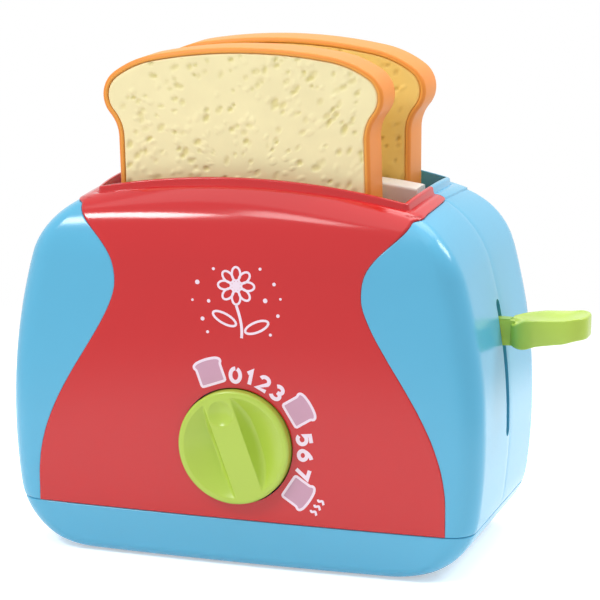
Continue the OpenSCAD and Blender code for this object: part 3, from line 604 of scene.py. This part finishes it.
# %% Lever
LEVER_Y, LEVER_MID, LEVER_TIP = -2.7, 112.0, 126.0
LEVER_HALF, LEVER_R = 10.0, 8.0    # half its width and the round of its outer corners
LEVER_TOP, LEVER_LOW = 95.6, 84.7  # at the neck; from there both climb towards the tip
NECK_DROP, DISH_DEEP, DISH_R = 2.2, 1.35, 0.86

def lever_outline():
    """Plan of the paddle and its neck, anticlockwise seen from above."""
    rear = [(95.9, 2.6), (96.3, 3.6), (97, 5.0), (98.2, 6.8), (99.5, 8.2), (101.2, 9.1), (103, 9.6)]
    rear += [(107, LEVER_HALF), (112, LEVER_HALF)]
    rear += [(LEVER_TIP - LEVER_R + LEVER_R * sind(a), LEVER_HALF - LEVER_R + LEVER_R * cosd(a))
             for a in steps(0, 90, 14)]
    neck = [(95.9, y) for y in (1.3, 0.0, -1.3)]
    return [(x, y + LEVER_Y) for x, y in [(x, -y) for x, y in rear] + rear[::-1] + neck]

def lever_level(x):
    """Top and bottom of the paddle at x."""
    top = LEVER_TOP + 1.3 * smooth((x - 97) / 14) + 1.2 * smooth((x - 114) / 10)
    return top, LEVER_LOW + 2.6 * smooth((x - 101) / 10) + 2.2 * smooth((x - 113) / 11)

def front_drop(x, y):
    """The neck's top front corner slopes down towards the slot."""
    side = smooth((LEVER_Y - y) / 2.5)
    return NECK_DROP * side * (1 - smooth((x - 97) / 6.5))

def lever_ring(f, rise, top=True):
    """The outline shrunk to share f, rise above the top or the bottom of the paddle."""
    ring = []
    for x, y in lever_outline():
        px, py = mix(LEVER_MID, x, f), mix(LEVER_Y, y, f)
        high, low = lever_level(px)
        high -= front_drop(px, py)
        ring.append((px, py, high + rise if top else low + rise))
    return ring

def dish(f):
    """The hollow of the top at share f."""
    return -DISH_DEEP * (1 - (f / DISH_R) ** 2) - 0.3

lever = Builder()
rings = [lever_ring(f, dish(f)) for f in (0.02, 0.2, 0.35, 0.5, 0.62, 0.72, 0.8, 0.84)]
rings += [lever_ring(0.87, -0.25), lever_ring(0.895, -0.06), lever_ring(0.92, 0)]
edge_steps = [(0.55, 0.02), (0.35, 0.1), (0.15, 0.3), (0.04, 0.6), (0, 0.9)]
rings += [lever_ring(1 - d / 12, -i) for d, i in edge_steps]
rings += [lever_ring(1 - d / 12, i, False) for d, i in edge_steps[::-1]]
rings += [lever_ring(0.5, 0, False), lever_ring(0.02, 0, False)]
lever.tube(rings)

def stem_ring(x, r=0.5, half=2.5, z0=84.5, z1=94.6):
    """Cross-section of the stem at x, an upright bar with rounded edges."""
    side, ring = half - r, []
    for cy, cz, a0 in ((side, z1 - r, 0), (-side, z1 - r, 90), (-side, z0 + r, 180), (side, z0 + r, 270)):
        ring += [(x, LEVER_Y + cy + r * cosd(a), cz + r * sind(a)) for a in steps(a0, a0 + 90, 4)]
    return ring

lever.tube([stem_ring(x) for x in (89.5, 92.5, 97.5)])
settle(plain("Lever", lever, lime, sharp=55), "lift", ["lever_handle"])

# %% [markdown]
# ## Timer dial
# A disc with two scoops that leave a flat bar across its middle, to be turned with finger and thumb. The
# scoops drop steeply beside the bar, run out straight at the rim, and a fingertip dimple marks the bar's
# upper end. The real one is a single moulding screwed to its shaft; here its face is a set of rings whose
# points sink by `dial_sink`, so the scoops keep a soft bottom and the rim stays truly round.

# %% Dial
DIAL_R, DIAL_ROLL, PROUD, DIAL_TURN = 22.2, 1.2, 3.8, -20  # radius, round edge, how far it stands out, turn
SKIRT, HUB_R, DIAL_N = 7, 2, 288                           # reach of its side, its shaft, points in a ring
BAR, SCOOP_R, DEEP_AT, DIAL_DEEP = 5.6, 19.8, 9.3, 5.4     # half the bar; a scoop's radius, bottom and depth
DIMPLE_UP, DIMPLE_R, DIMPLE_DEEP = 14.0, 5.0, 1.8

def dial_sink(x, z):
    """Depth of the face below the rim at (x, z), with the bar upright."""
    r, u = math.hypot(x, z), abs(x)
    near = math.hypot(x, z - DIMPLE_UP) / DIMPLE_R
    dimple = DIMPLE_DEEP * (1 - near * near) if near < 1 else 0.0
    if r >= SCOOP_R or u <= BAR:
        return dimple
    reach = math.sqrt(max(0.0, SCOOP_R ** 2 - z ** 2))
    if reach <= BAR:
        return dimple
    low = min(DEEP_AT, mix(BAR, reach, 0.3))
    along = 1 - (z / math.sqrt(SCOOP_R ** 2 - BAR ** 2)) ** 2
    if u < low:
        v = (u - BAR) / (low - BAR)
        f = math.sin(math.pi / 2 * v) ** 0.8
    else:
        v = (u - low) / (reach - low)
        f = 1 - (0.85 * v + 0.15 * v * v)
    return max(dimple, DIAL_DEEP * along * f)

def dial_point(r, a, sink):
    """Point of the turned dial at radius r and angle a, sink below its front."""
    x, z = r * sind(a), r * cosd(a)
    c, s = cosd(DIAL_TURN), sind(DIAL_TURN)
    return (x * c + z * s, -BODY_DEEP - PROUD + sink, DIAL_Z - x * s + z * c)

around = [360 * j / DIAL_N for j in range(DIAL_N)]

def dial_ring(r, sink):
    return [dial_point(r, a, sink) for a in around]

face_r = DIAL_R - DIAL_ROLL
rings = [[dial_point(r, a, dial_sink(r * sind(a), r * cosd(a))) for a in around]
         for r in steps(0.15, face_r, 110)]
rings += [dial_ring(face_r + DIAL_ROLL * sind(a), DIAL_ROLL * (1 - cosd(a))) for a in steps(12, 90, 7)]
rings += [dial_ring(DIAL_R, PROUD + SKIRT), dial_ring(HUB_R, PROUD + SKIRT)]
settle(plain("Timer_Dial", Builder().tube(rings), lime, sharp=50), "dial", ["timer_knob"])

# %% [markdown]
# ## Play bread
# Each slice is an orange crust with a pale, pitted crumb pressed into it. The outline is made of arcs
# that touch without a corner, as a draughtsman would draw it: straight sides, a hollow neck, a small ear
# circle, a wide shoulder arc and the long crown.

# %% Slice outline
def arc(cx, cz, r, a0, a1, n, hollow=False):
    """Points with outward normals along an arc, angles in degrees from +X."""
    out = []
    for a in steps(a0, a1, n):
        nx, nz = cosd(a), sind(a)
        out.append((cx + r * nx, cz + r * nz, -nx if hollow else nx, -nz if hollow else nz))
    return out

def slice_outline(fine=1, half=50.4, height=99.0, ear=(45.2, 80.3), ear_r=11.0, neck_r=14.0, shoulder=40.0,
                  crown=205.0):
    """The slice from the front, foot at z = 0: points with outward normals."""
    kz = height - crown
    ex, ez = ear
    nz = ez - math.sqrt((neck_r + ear_r) ** 2 - (half + neck_r - ex) ** 2)
    gap = math.hypot(ex, ez - kz)
    ux, uz = ex / gap, (ez - kz) / gap
    along = ((crown - shoulder) ** 2 - (shoulder - ear_r) ** 2 + gap ** 2) / (2 * gap)
    off = math.sqrt(max(0, (crown - shoulder) ** 2 - along ** 2))
    mx, mz = along * ux - off * uz, kz + along * uz + off * ux
    a_neck = math.degrees(math.atan2(ez - nz, ex - half - neck_r))
    a_ear = math.degrees(math.atan2(ez - mz, ex - mx))
    a_crown = math.degrees(math.atan2(mz - kz, mx))
    side = arc(half - 8, 8, 8, -90, 0, 10 * fine)
    side += [(half, z, 1, 0) for z in steps(8, nz, 36 * fine)[1:-1]]
    side += arc(half + neck_r, nz, neck_r, 180, a_neck, 10 * fine, True)[:-1]
    side += arc(ex, ez, ear_r, a_neck - 180, a_ear, 18 * fine)[:-1]
    side += arc(mx, mz, shoulder, a_ear, a_crown, 12 * fine)[:-1]
    side += arc(0, kz, crown, a_crown, 90, 24 * fine)
    left = [(-x, z, -nx, n_z) for x, z, nx, n_z in side[:-1]][::-1]
    foot = [(x, 0, 0, -1) for x in steps(-(half - 8), half - 8, 50 * fine)[1:-1]]
    return side + left + foot

SLICE_HALF, SLICE_BOTTOM, SLICE_MID = 8.7, 98.32, 50.0

def slice_ring(points, y, d, cx, tilt, g=1.0, tone=0.0):
    """The outline moved inward by d, scaled by g about the middle, tilted and set in its place."""
    ring = []
    for x, z, nx, nz in points:
        px, pz = (x - d * nx) * g, (z - d * nz - SLICE_MID) * g
        ring.append((cx + px * cosd(tilt) - pz * sind(tilt), y,
                     SLICE_BOTTOM + SLICE_MID + px * sind(tilt) + pz * cosd(tilt), tone))
    return ring

print("slice outline:", len(slice_outline()), "points")

# %% [markdown]
# ## Crumb relief
# The crumb is not flat: the mould gives it small pits, some of them long and slanting, with soft pale
# bumps between them. They are real dents in the mesh, because the light has to catch their edges; a
# seeded random choice sets them, and the same depth is kept as an attribute that darkens the pits with
# painted shade, the deeper the darker.

# %% Crumb relief
BUMP_SHARE, BUMPS, PITS = 0.42, (0.18, 0.33), (0.2, 0.7)  # how many marks stand up; heights and depths

def crumb_marks(seed, count=560):
    """Seeded dents and bumps: place, half length, half width, slant and depth."""
    rng = random.Random(seed)
    marks = []
    for _ in range(count):
        z = rng.uniform(2, 97)
        long = rng.uniform(1.0, 1.9)
        r = rng.uniform(0.8, 1.6) * mix(1.3, 0.85, z / 97)
        up = rng.random() < BUMP_SHARE
        marks.append((rng.uniform(-48, 48), z, r * long, r, rng.uniform(10, 75),
                      -rng.uniform(*BUMPS) if up else rng.uniform(*PITS)))
    return np.array(marks)

def relief(ring, marks, cx, tilt):
    """Depth of the dents at each point of a ring."""
    p = np.array([q[:3] for q in ring])
    x, z = p[:, 0] - cx, p[:, 2] - SLICE_BOTTOM - SLICE_MID
    lx, lz = x * cosd(tilt) + z * sind(tilt), z * cosd(tilt) - x * sind(tilt) + SLICE_MID
    dx, dz = lx[:, None] - marks[:, 0], lz[:, None] - marks[:, 1]
    ca, sa = np.cos(np.radians(marks[:, 4])), np.sin(np.radians(marks[:, 4]))
    u, v = (dx * ca + dz * sa) / marks[:, 2], (dz * ca - dx * sa) / marks[:, 3]
    near = np.clip(1 - (u * u + v * v), 0, 1)
    bowl = near * near * (3 - 2 * near) * marks[:, 5]
    return np.clip(bowl.max(axis=1), 0, None) + bowl.min(axis=1)

print("crumb: bumps up to", BUMPS[1], "mm high, pits up to", PITS[1], "mm deep")

# %% [markdown]
# ## Bread finishes
# The crust is an orange plastic, a little lighter along its inner edge beside the crumb. The crumb is
# cream-yellow; the olive in its pits and along its sunken edge is painted shade. The rear slice's crumb is
# painted darker as a whole, a deeper yellow with brown pits: painted shade of the slice standing behind.
# Each finish mixes its second colour in by the tone that the points carry.

# %% Bread finishes
def toned(name, first, second, drift=0.04, rough=0.5):
    """A plastic whose colour follows the piece's own tone attribute."""
    mat = material(name, first, rough=rough, drift=drift, ripple=0.05, scale=90, spec=0.35)
    nt = mat.node_tree
    link = nt.links.new
    shader = nt.nodes["Principled BSDF"]
    cloud = shader.inputs["Base Color"].links[0].from_socket
    tone = add_node(nt, "Attribute", attribute_name="tone")
    blend = add_node(nt, "Mix", data_type="RGBA")
    blend.inputs["B"].default_value = list(second) + [1]
    link(tone.outputs["Fac"], blend.inputs["Factor"])
    link(cloud, blend.inputs["A"])
    link(blend.outputs["Result"], shader.inputs["Base Color"])
    return mat

crust = toned("Crust plastic", (0.86, 0.28, 0.04), (0.88, 0.38, 0.07), rough=0.45)
# second colour: painted shade, mixed in where the crumb is dented or sunk
crumb = toned("Crumb plastic", (0.95, 0.83, 0.47), (0.72, 0.62, 0.24), drift=0.07, rough=0.36)
# a darker copy of the crumb for the rear slice: painted shade of the slice standing behind the front one
crumb_rear_painted_shade = toned("Rear crumb plastic, painted shade", (0.92, 0.63, 0.18), (0.62, 0.38, 0.08), drift=0.07)
print("bread finishes:", crust.name, crumb.name, crumb_rear_painted_shade.name)

# %% [markdown]
# ## Slices
# The crust is a rounded band: one cross-section led round the outline. The crumb is a plate of rings
# shrunk towards the middle of the slice, with a soft edge, and lies a third of a millimetre below the
# crust's face. The front slice leans a little to one side, as it does when it is dropped into the slot.

# %% Slices
CRUST_ROLL, CRUST_IN, CRUMB_IN = 1.5, 2.1, 2.15
# painted shade: the crumb darkens with the depth of a pit, fully at the last value below
CRUMB_SINK, EDGE_SINK, PIT_SHADE_DEPTH = 0.35, (0.5, 1.0), 0.75  # crumb's face and edge, depth of the full tint
FRONT_PLACE, FRONT_TILT, FRONT_SEED = (-4.3, -17.9), 1.8, 11
REAR_PLACE, REAR_TILT, REAR_SEED = (1.2, 17.9), 0.0, 23

def crust_profile():
    """Half of the band's cross-section: distance from the middle plane, inward distance, tone."""
    lane = [(SLICE_HALF - 0.7, CRUST_IN, 1.0), (SLICE_HALF - 0.15, 1.95, 1.0), (SLICE_HALF, 1.7, 0.8)]
    for a in steps(90, 0, 8):
        inward = CRUST_ROLL * (1 - cosd(a))
        lane.append((SLICE_HALF - CRUST_ROLL + CRUST_ROLL * sind(a), inward, smooth((inward - 0.9) / 0.6)))
    return lane

def make_slice(tag, body, place, tilt, seed, filling):
    """Crust and crumb of one slice, standing at place and tilted in the slot's plane."""
    (cx, cy), node = place, f"bread_{tag.lower()}_"
    points = slice_outline()
    band = [(-y, d, t) for y, d, t in crust_profile()] + [(y, d, t) for y, d, t in crust_profile()[::-1]]
    rings = [slice_ring(points, cy + y, d, cx, tilt, 1.0, t) for y, d, t in band]
    b = Builder().grid(rings + [rings[0]], wrap=True)
    settle(plain(f"Bread_{tag}_Crust", b, crust, sharp=50), body, [node + "crust"])
    marks = crumb_marks(seed)
    points = slice_outline(fine=2)
    flat = []
    for side in (-1, 1):
        lane = [slice_ring(points, cy, CRUMB_IN, cx, tilt, g) for g in [0.01] + steps(0.03, 0.985, 78)]
        sheet = []
        for ring in lane:
            dent = relief(ring, marks, cx, tilt)
            # the fourth value is painted shade: the deeper the pit, the darker the crumb
            sheet.append([(x, cy + side * (SLICE_HALF - CRUMB_SINK - deep), z,
                           min(1.0, max(0.0, deep / PIT_SHADE_DEPTH))) for (x, y, z, t), deep in zip(ring, dent)])
        # the crumb's sunken outer edge beside the crust is darkened too: painted shade in the crease
        for sink, g, tone in zip(EDGE_SINK, (0.993, 1.0), (0.0, 0.6)):
            sheet.append(slice_ring(points, cy + side * (SLICE_HALF - sink), CRUMB_IN, cx, tilt, g, tone))
        flat += sheet if side < 0 else sheet[::-1]
    b = Builder().tube(flat)
    settle(plain(f"Bread_{tag}_Crumb", b, filling, sharp=70), body, [node + "crumb"])

make_slice("Front", "slice_front", FRONT_PLACE, FRONT_TILT, FRONT_SEED, crumb)
make_slice("Rear", "slice_rear", REAR_PLACE, REAR_TILT, REAR_SEED, crumb_rear_painted_shade)

# %% [markdown]
# ## Print on the panel
# The numbers, the small bread pictures round the dial and a plain flower in the middle are printed in
# pale ink. The real ink is pad-printed on the finished panel. Each stroke here is a thin ribbon that
# follows the panel's surface a hair above it, so the ink keeps clean edges at any distance and rides with
# the panel. Where strokes cross, each lies a little above the one before.

# %% Print tools
INK_UP, INK_STEP, INK_DEEP, INK_LINE = 0.06, 0.015, 0.1, 1.0

def on_panel(x, z, up):
    """The point of the panel's face at (x, z), raised by up."""
    low, high = 0.02, 1.3
    for _ in range(18):
        k = (low + high) / 2
        if skin(k, -panel_rise(k), x)[2] < z:
            low = k
        else:
            high = k
    px, py, pz = skin(k, -panel_rise(k) - up, x)
    return (x, py, z)

def ribbon(builder, pts, width, closed=False, up=INK_UP):
    """A stroke of the given width along pts, with mitred corners."""
    rings, n = [], len(pts)
    for j in range(n):
        a = pts[(j - 1) % n] if closed else pts[max(0, j - 1)]
        c = pts[(j + 1) % n] if closed else pts[min(n - 1, j + 1)]
        b = pts[j]
        d1, d2 = Vector((b[0] - a[0], b[1] - a[1])), Vector((c[0] - b[0], c[1] - b[1]))
        d1 = d2.normalized() if d1.length < 1e-6 else d1.normalized()
        d2 = d1 if d2.length < 1e-6 else d2.normalized()
        n1, n2 = Vector((-d1.y, d1.x)), Vector((-d2.y, d2.x))
        side = (n1 + n2) / max(0.4, 1 + n1.dot(n2)) * width / 2
        left, right = (b[0] + side.x, b[1] + side.y), (b[0] - side.x, b[1] - side.y)
        rings.append([on_panel(*left, up), on_panel(*right, up),
                      on_panel(*right, -INK_DEEP), on_panel(*left, -INK_DEEP)])
    if closed:
        builder.grid(rings + [rings[0]], wrap=True)
    else:
        builder.tube(rings)

def patch(builder, pts, up=INK_UP):
    """A filled area inside pts."""
    builder.tube([[on_panel(x, z, up) for x, z in pts], [on_panel(x, z, -INK_DEEP) for x, z in pts]])

def oval(cx, cz, rx, rz, a0=0, a1=360, n=24):
    """An arc of an ellipse; from 0 to 360 its last point is its first."""
    return [(cx + rx * cosd(a), cz + rz * sind(a)) for a in steps(a0, a1, n)]

def placed(pts, cx, cz, turn, size=1.0):
    """Points turned clockwise by turn degrees and moved to (cx, cz)."""
    return [(cx + size * (x * cosd(turn) + z * sind(turn)), cz + size * (z * cosd(turn) - x * sind(turn)))
            for x, z in pts]

print("panel's face at the dial:", [round(c, 1) for c in on_panel(0, DIAL_Z, 0)])

# %% [markdown]
# ## Signs round the dial
# Each sign is drawn once about the origin, as the strokes of a pen, and placed round the dial with its
# top outward. The three bread pictures take their outline from the slices, at a tenth of their size.

# %% Signs round the dial
DIGITS = {
    "0": [oval(0, 0, 1.95, 2.6, 90, 430, 32)],
    "1": [[(-1.1, 1.5), (0.3, 2.6), (0.3, -2.6)]],
    "2": [oval(0, 1.05, 1.8, 1.55, 165, -35, 16) + [(-1.8, -2.55), (1.95, -2.55)]],
    "3": [oval(-0.1, 1.3, 1.6, 1.3, 150, -90, 16), oval(-0.1, -1.2, 1.85, 1.4, 90, -150, 18)],
    "5": [[(1.6, 2.55), (-1.25, 2.55), (-1.5, 0.25)] + oval(-0.1, -0.85, 1.85, 1.75, 118, -145, 18)],
    "6": [[(1.3, 2.5), (0.3, 2.1), (-0.7, 1.2), (-1.4, 0.1), (-1.7, -0.7)], oval(0, -0.95, 1.75, 1.6, n=26)],
    "7": [[(-1.75, 2.55), (1.8, 2.55), (-0.4, -2.6)]],
}
DIGIT_LINE, DIGIT_AT, ICON_AT = 1.5, 1.25 * DIAL_R, 1.36 * DIAL_R
ink, fill = Builder(), Builder()
for sign, turn in (("0", 0), ("1", 12), ("2", 24), ("3", 37), ("5", 80), ("6", 93), ("7", 107)):
    for layer, stroke in enumerate(DIGITS[sign]):
        loop = math.dist(stroke[0], stroke[-1]) < 0.01
        spot = DIGIT_AT * sind(turn), DIAL_Z + DIGIT_AT * cosd(turn)
        path = placed(stroke[:-1] if loop else stroke, *spot, turn)
        ribbon(ink, path, DIGIT_LINE, loop, INK_UP + INK_STEP * layer)
LOAF = 0.1  # size of the bread pictures
loaf = [((x - 0.5 * nx) * LOAF, (z - SLICE_MID - 0.5 * nz) * LOAF) for x, z, nx, nz in slice_outline()[::4]]
for turn, steam in ((-20, False), (58, False), (123, True)):
    cx, cz = ICON_AT * sind(turn), DIAL_Z + ICON_AT * cosd(turn)
    ribbon(ink, placed(loaf, cx, cz, turn), INK_LINE, closed=True)
    patch(fill, placed(loaf, cx, cz, turn, 0.92), up=0.04)
    if steam:
        for u in (-2.6, 0, 2.6):
            steam_line = [(u + 0.45 * sind(z * 150), 7.2 + z) for z in steps(0, 3, 10)]
            ribbon(ink, placed(steam_line, cx, cz, turn), 0.9)
print("signs:", len(DIGITS) + 3, "with", len(ink.faces), "faces")

# %% [markdown]
# ## Flower
# A daisy with a bent stem, two leaves and loose dots fills the upper middle of the panel. It is drawn
# with the same ribbons; its petals are one oval turned eight times.

# %% Flower
FLOWER = (0.5, 110.5)
for petal, turn in enumerate(steps(0, 315, 7)):
    petal_up = INK_UP + INK_STEP * (petal % 2)
    ribbon(ink, placed(oval(0, 4.6, 1.7, 2.6, n=20)[:-1], *FLOWER, turn), 0.85, True, petal_up)
patch(ink, oval(*FLOWER, 1.7, 1.7, n=20)[:-1], INK_UP + 2 * INK_STEP)
ribbon(ink, [(0.5 + 2.2 * sind(110 * f), 103 - 12.5 * f) for f in steps(0, 1, 14)], 1.1)
for side, z0 in ((1, 93.5), (-1, 96)):
    leaf = oval(0, 0, 5, 1.9)[:-1]
    ribbon(ink, placed(leaf, 2.2 + side * 6.4, z0 + 1.6, -25 * side), 0.9, closed=True)
DOTS = ((-15, 111, 0.9), (-10.5, 104, 0.7), (-13, 97, 0.8), (15.5, 112, 0.7), (12, 105.5, 0.9),
        (17, 100, 0.7), (-8.5, 116.5, 0.6), (10, 117.5, 0.6), (-17, 104, 0.5), (18, 106.5, 0.5),
        (-11, 92, 0.6), (14, 92.5, 0.6))
for x, z, r in DOTS:
    patch(ink, oval(x, z, r, r, n=14)[:-1])
settle(plain("Panel_Print", ink, print_ink, sharp=60), "body")
settle(plain("Panel_Print_Fill", fill, print_fill, sharp=60), "body")

# %% [markdown]
# ## Mechanism
# The parts inside are hardly seen, so they keep their CAD form and only get their own finishes. The
# carriage takes the lever's colour, because its arm shows in the side slot, painted darker as the shade
# inside the slot.

# %% Finishes of the carried-over nodes
INSIDE = {"carriage": lime_painted_shade, "latch_hook": cream, "release_cam": cream, "foot_pads": rubber}
for name in ("guide_posts", "lever_screw", "lift_spring_left", "lift_spring_right", "latch_pin", "knob_shaft",
             "knob_screw", "shaft_ring", "base_screws", "shell_screws", "panel_clips", "post_screws"):
    INSIDE[name] = steel
for name, finish in INSIDE.items():
    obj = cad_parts[name]
    obj.data.materials.clear()
    obj.data.materials.append(finish)
print("kept nodes:", len(INSIDE))

# %% [markdown]
# ## Floor
# The toy stands on a white sweep. The floor is a sheet of near-white card that keeps the soft shadow and
# fades out to nothing before its border, so no horizon shows. A little glow, for the seen rays only,
# brings its white up to the background's.

# %% Floor
FLOOR_HALF, FLOOR_FROM, FLOOR_TO = 0.6, 0.25, 0.45  # metres: half its side, begin and end of the fade
FLOOR_GLOW = 0.45

def seen_rays(tree):
    """1 for the rays of the camera, of mirror images and of clear pieces, 0 for those that light the toy."""
    path = add_node(tree, "LightPath")
    seen = path.outputs["Is Camera Ray"]
    for kind in ("Is Glossy Ray", "Is Transmission Ray"):
        either = add_node(tree, "Math", operation="MAXIMUM")
        tree.links.new(seen, either.inputs[0])
        tree.links.new(path.outputs[kind], either.inputs[1])
        seen = either.outputs["Value"]
    return seen

floor_mesh = bpy.data.meshes.new("Floor")
corners = [(x * FLOOR_HALF, y * FLOOR_HALF, 0) for x, y in ((-1, -1), (1, -1), (1, 1), (-1, 1))]
floor_mesh.from_pydata(corners, [], [(0, 1, 2, 3)])
floor = put("Floor", floor_mesh)
card = material("Floor white", (0.93, 0.93, 0.93), rough=0.8, drift=0.005)
nt = card.node_tree
link = nt.links.new
shader = nt.nodes["Principled BSDF"]
shader.inputs["Emission Color"].default_value = (1, 1, 1, 1)
glow = add_node(nt, "Math", {1: FLOOR_GLOW}, operation="MULTIPLY")
link(seen_rays(nt), glow.inputs[0])
link(glow.outputs["Value"], shader.inputs["Emission Strength"])
away = add_node(nt, "VectorMath", operation="LENGTH")
coords = add_node(nt, "TexCoord")
fade = add_node(nt, "MapRange", {"From Min": FLOOR_FROM, "From Max": FLOOR_TO},
                interpolation_type="SMOOTHSTEP")
clear = add_node(nt, "BsdfTransparent")
blend = add_node(nt, "MixShader")
link(coords.outputs["Object"], away.inputs[0])
link(away.outputs["Value"], fade.inputs["Value"])
link(fade.outputs["Result"], blend.inputs[0])
link(shader.outputs["BSDF"], blend.inputs[1])
link(clear.outputs["BSDF"], blend.inputs[2])
link(blend.outputs["Shader"], nt.nodes["Material Output"].inputs["Surface"])
floor_mesh.materials.append(card)
print("floor fades from", FLOOR_FROM, "to", FLOOR_TO, "m")

# %% [markdown]
# ## Light
# Five softboxes, as round a product table. Key stands high on the left and draws the long highlight along
# the shoulder; Side, on the right, lights the lever and the end of the body; Sky hangs above like a
# diffuser; Window puts a small bright glint on the dial and the lip; Back, weak and wide, parts the rear
# edge from the background. The white world fills the shadows.

# %% Lights
def softbox(name, az, el, size, watts):
    """A white area light 1 m from the toy at azimuth az (left is negative) and elevation el, in degrees."""
    data = bpy.data.lights.new(name, "AREA")
    data.shape = "RECTANGLE"
    data.size, data.size_y = size
    data.energy = watts
    lamp = put(name, data)
    place = Vector((sind(az) * cosd(el), -cosd(az) * cosd(el), sind(el)))
    lamp.location = Vector((0, 0, 0.1)) + place
    lamp.rotation_euler = place.to_track_quat("Z", "Y").to_euler()
    print(name, "radiance", round(watts / (math.pi * size[0] * size[1]), 1))

softbox("Key", -42, 43, (0.31, 0.15), 3.4)
softbox("Side", 117, 42, (0.28, 0.34), 3.4)
softbox("Sky", -30, 84, (1.0, 0.8), 2.4)
softbox("Window", -22, 53, (0.16, 0.14), 0.5)
softbox("Back", 175, 60, (0.9, 0.5), 4)

# %% [markdown]
# ## World
# The world is plain white for the seen rays and a weaker, cool white for the light it gives.

# %% World
WORLD_LIGHT, WORLD_COLOUR = 0.6, (0.94, 0.97, 1.0, 1)
world = bpy.data.worlds.new("Studio")
scene.world = world
world.use_nodes = True
nt = world.node_tree
nt.nodes.clear()
out = add_node(nt, "OutputWorld")
seen = add_node(nt, "Background", {"Color": (1, 1, 1, 1), "Strength": 1.0})
lit = add_node(nt, "Background", {"Color": WORLD_COLOUR, "Strength": WORLD_LIGHT})
blend = add_node(nt, "MixShader")
for socket, end in ((seen_rays(nt), blend.inputs[0]), (lit.outputs[0], blend.inputs[1]),
                    (seen.outputs[0], blend.inputs[2]), (blend.outputs[0], out.inputs[0])):
    nt.links.new(socket, end)
print("world light", WORLD_LIGHT)

# %% [markdown]
# ## Camera
# A long lens from eighteen degrees right of the front and twelve degrees up, fitted to the outline of the
# photograph, so that the picture can be laid over it.

# %% Camera
AZ, EL, DIST = 18.02, 12.39, 1.0443     # degrees, degrees, metres
FOCAL, FRAME, SENSOR = 2663.0, 600, 36  # pixels, pixels, millimetres
aim = Vector((0.00986, 0.0, 0.09553))
back = Vector((sind(AZ) * cosd(EL), -cosd(AZ) * cosd(EL), sind(EL)))
cam_data = bpy.data.cameras.new("Camera")
cam_data.sensor_width = SENSOR
cam_data.lens = FOCAL * SENSOR / FRAME
cam = put("Camera", cam_data)
cam.location = aim + back * DIST
cam.rotation_euler = back.to_track_quat("Z", "Y").to_euler()
scene.camera = cam
scene.view_settings.view_transform = "Standard"
print("camera at", [round(v, 3) for v in cam.location])

# %% [markdown]
# ## End
# The scene is complete.

# %% Finish
print("scene built")
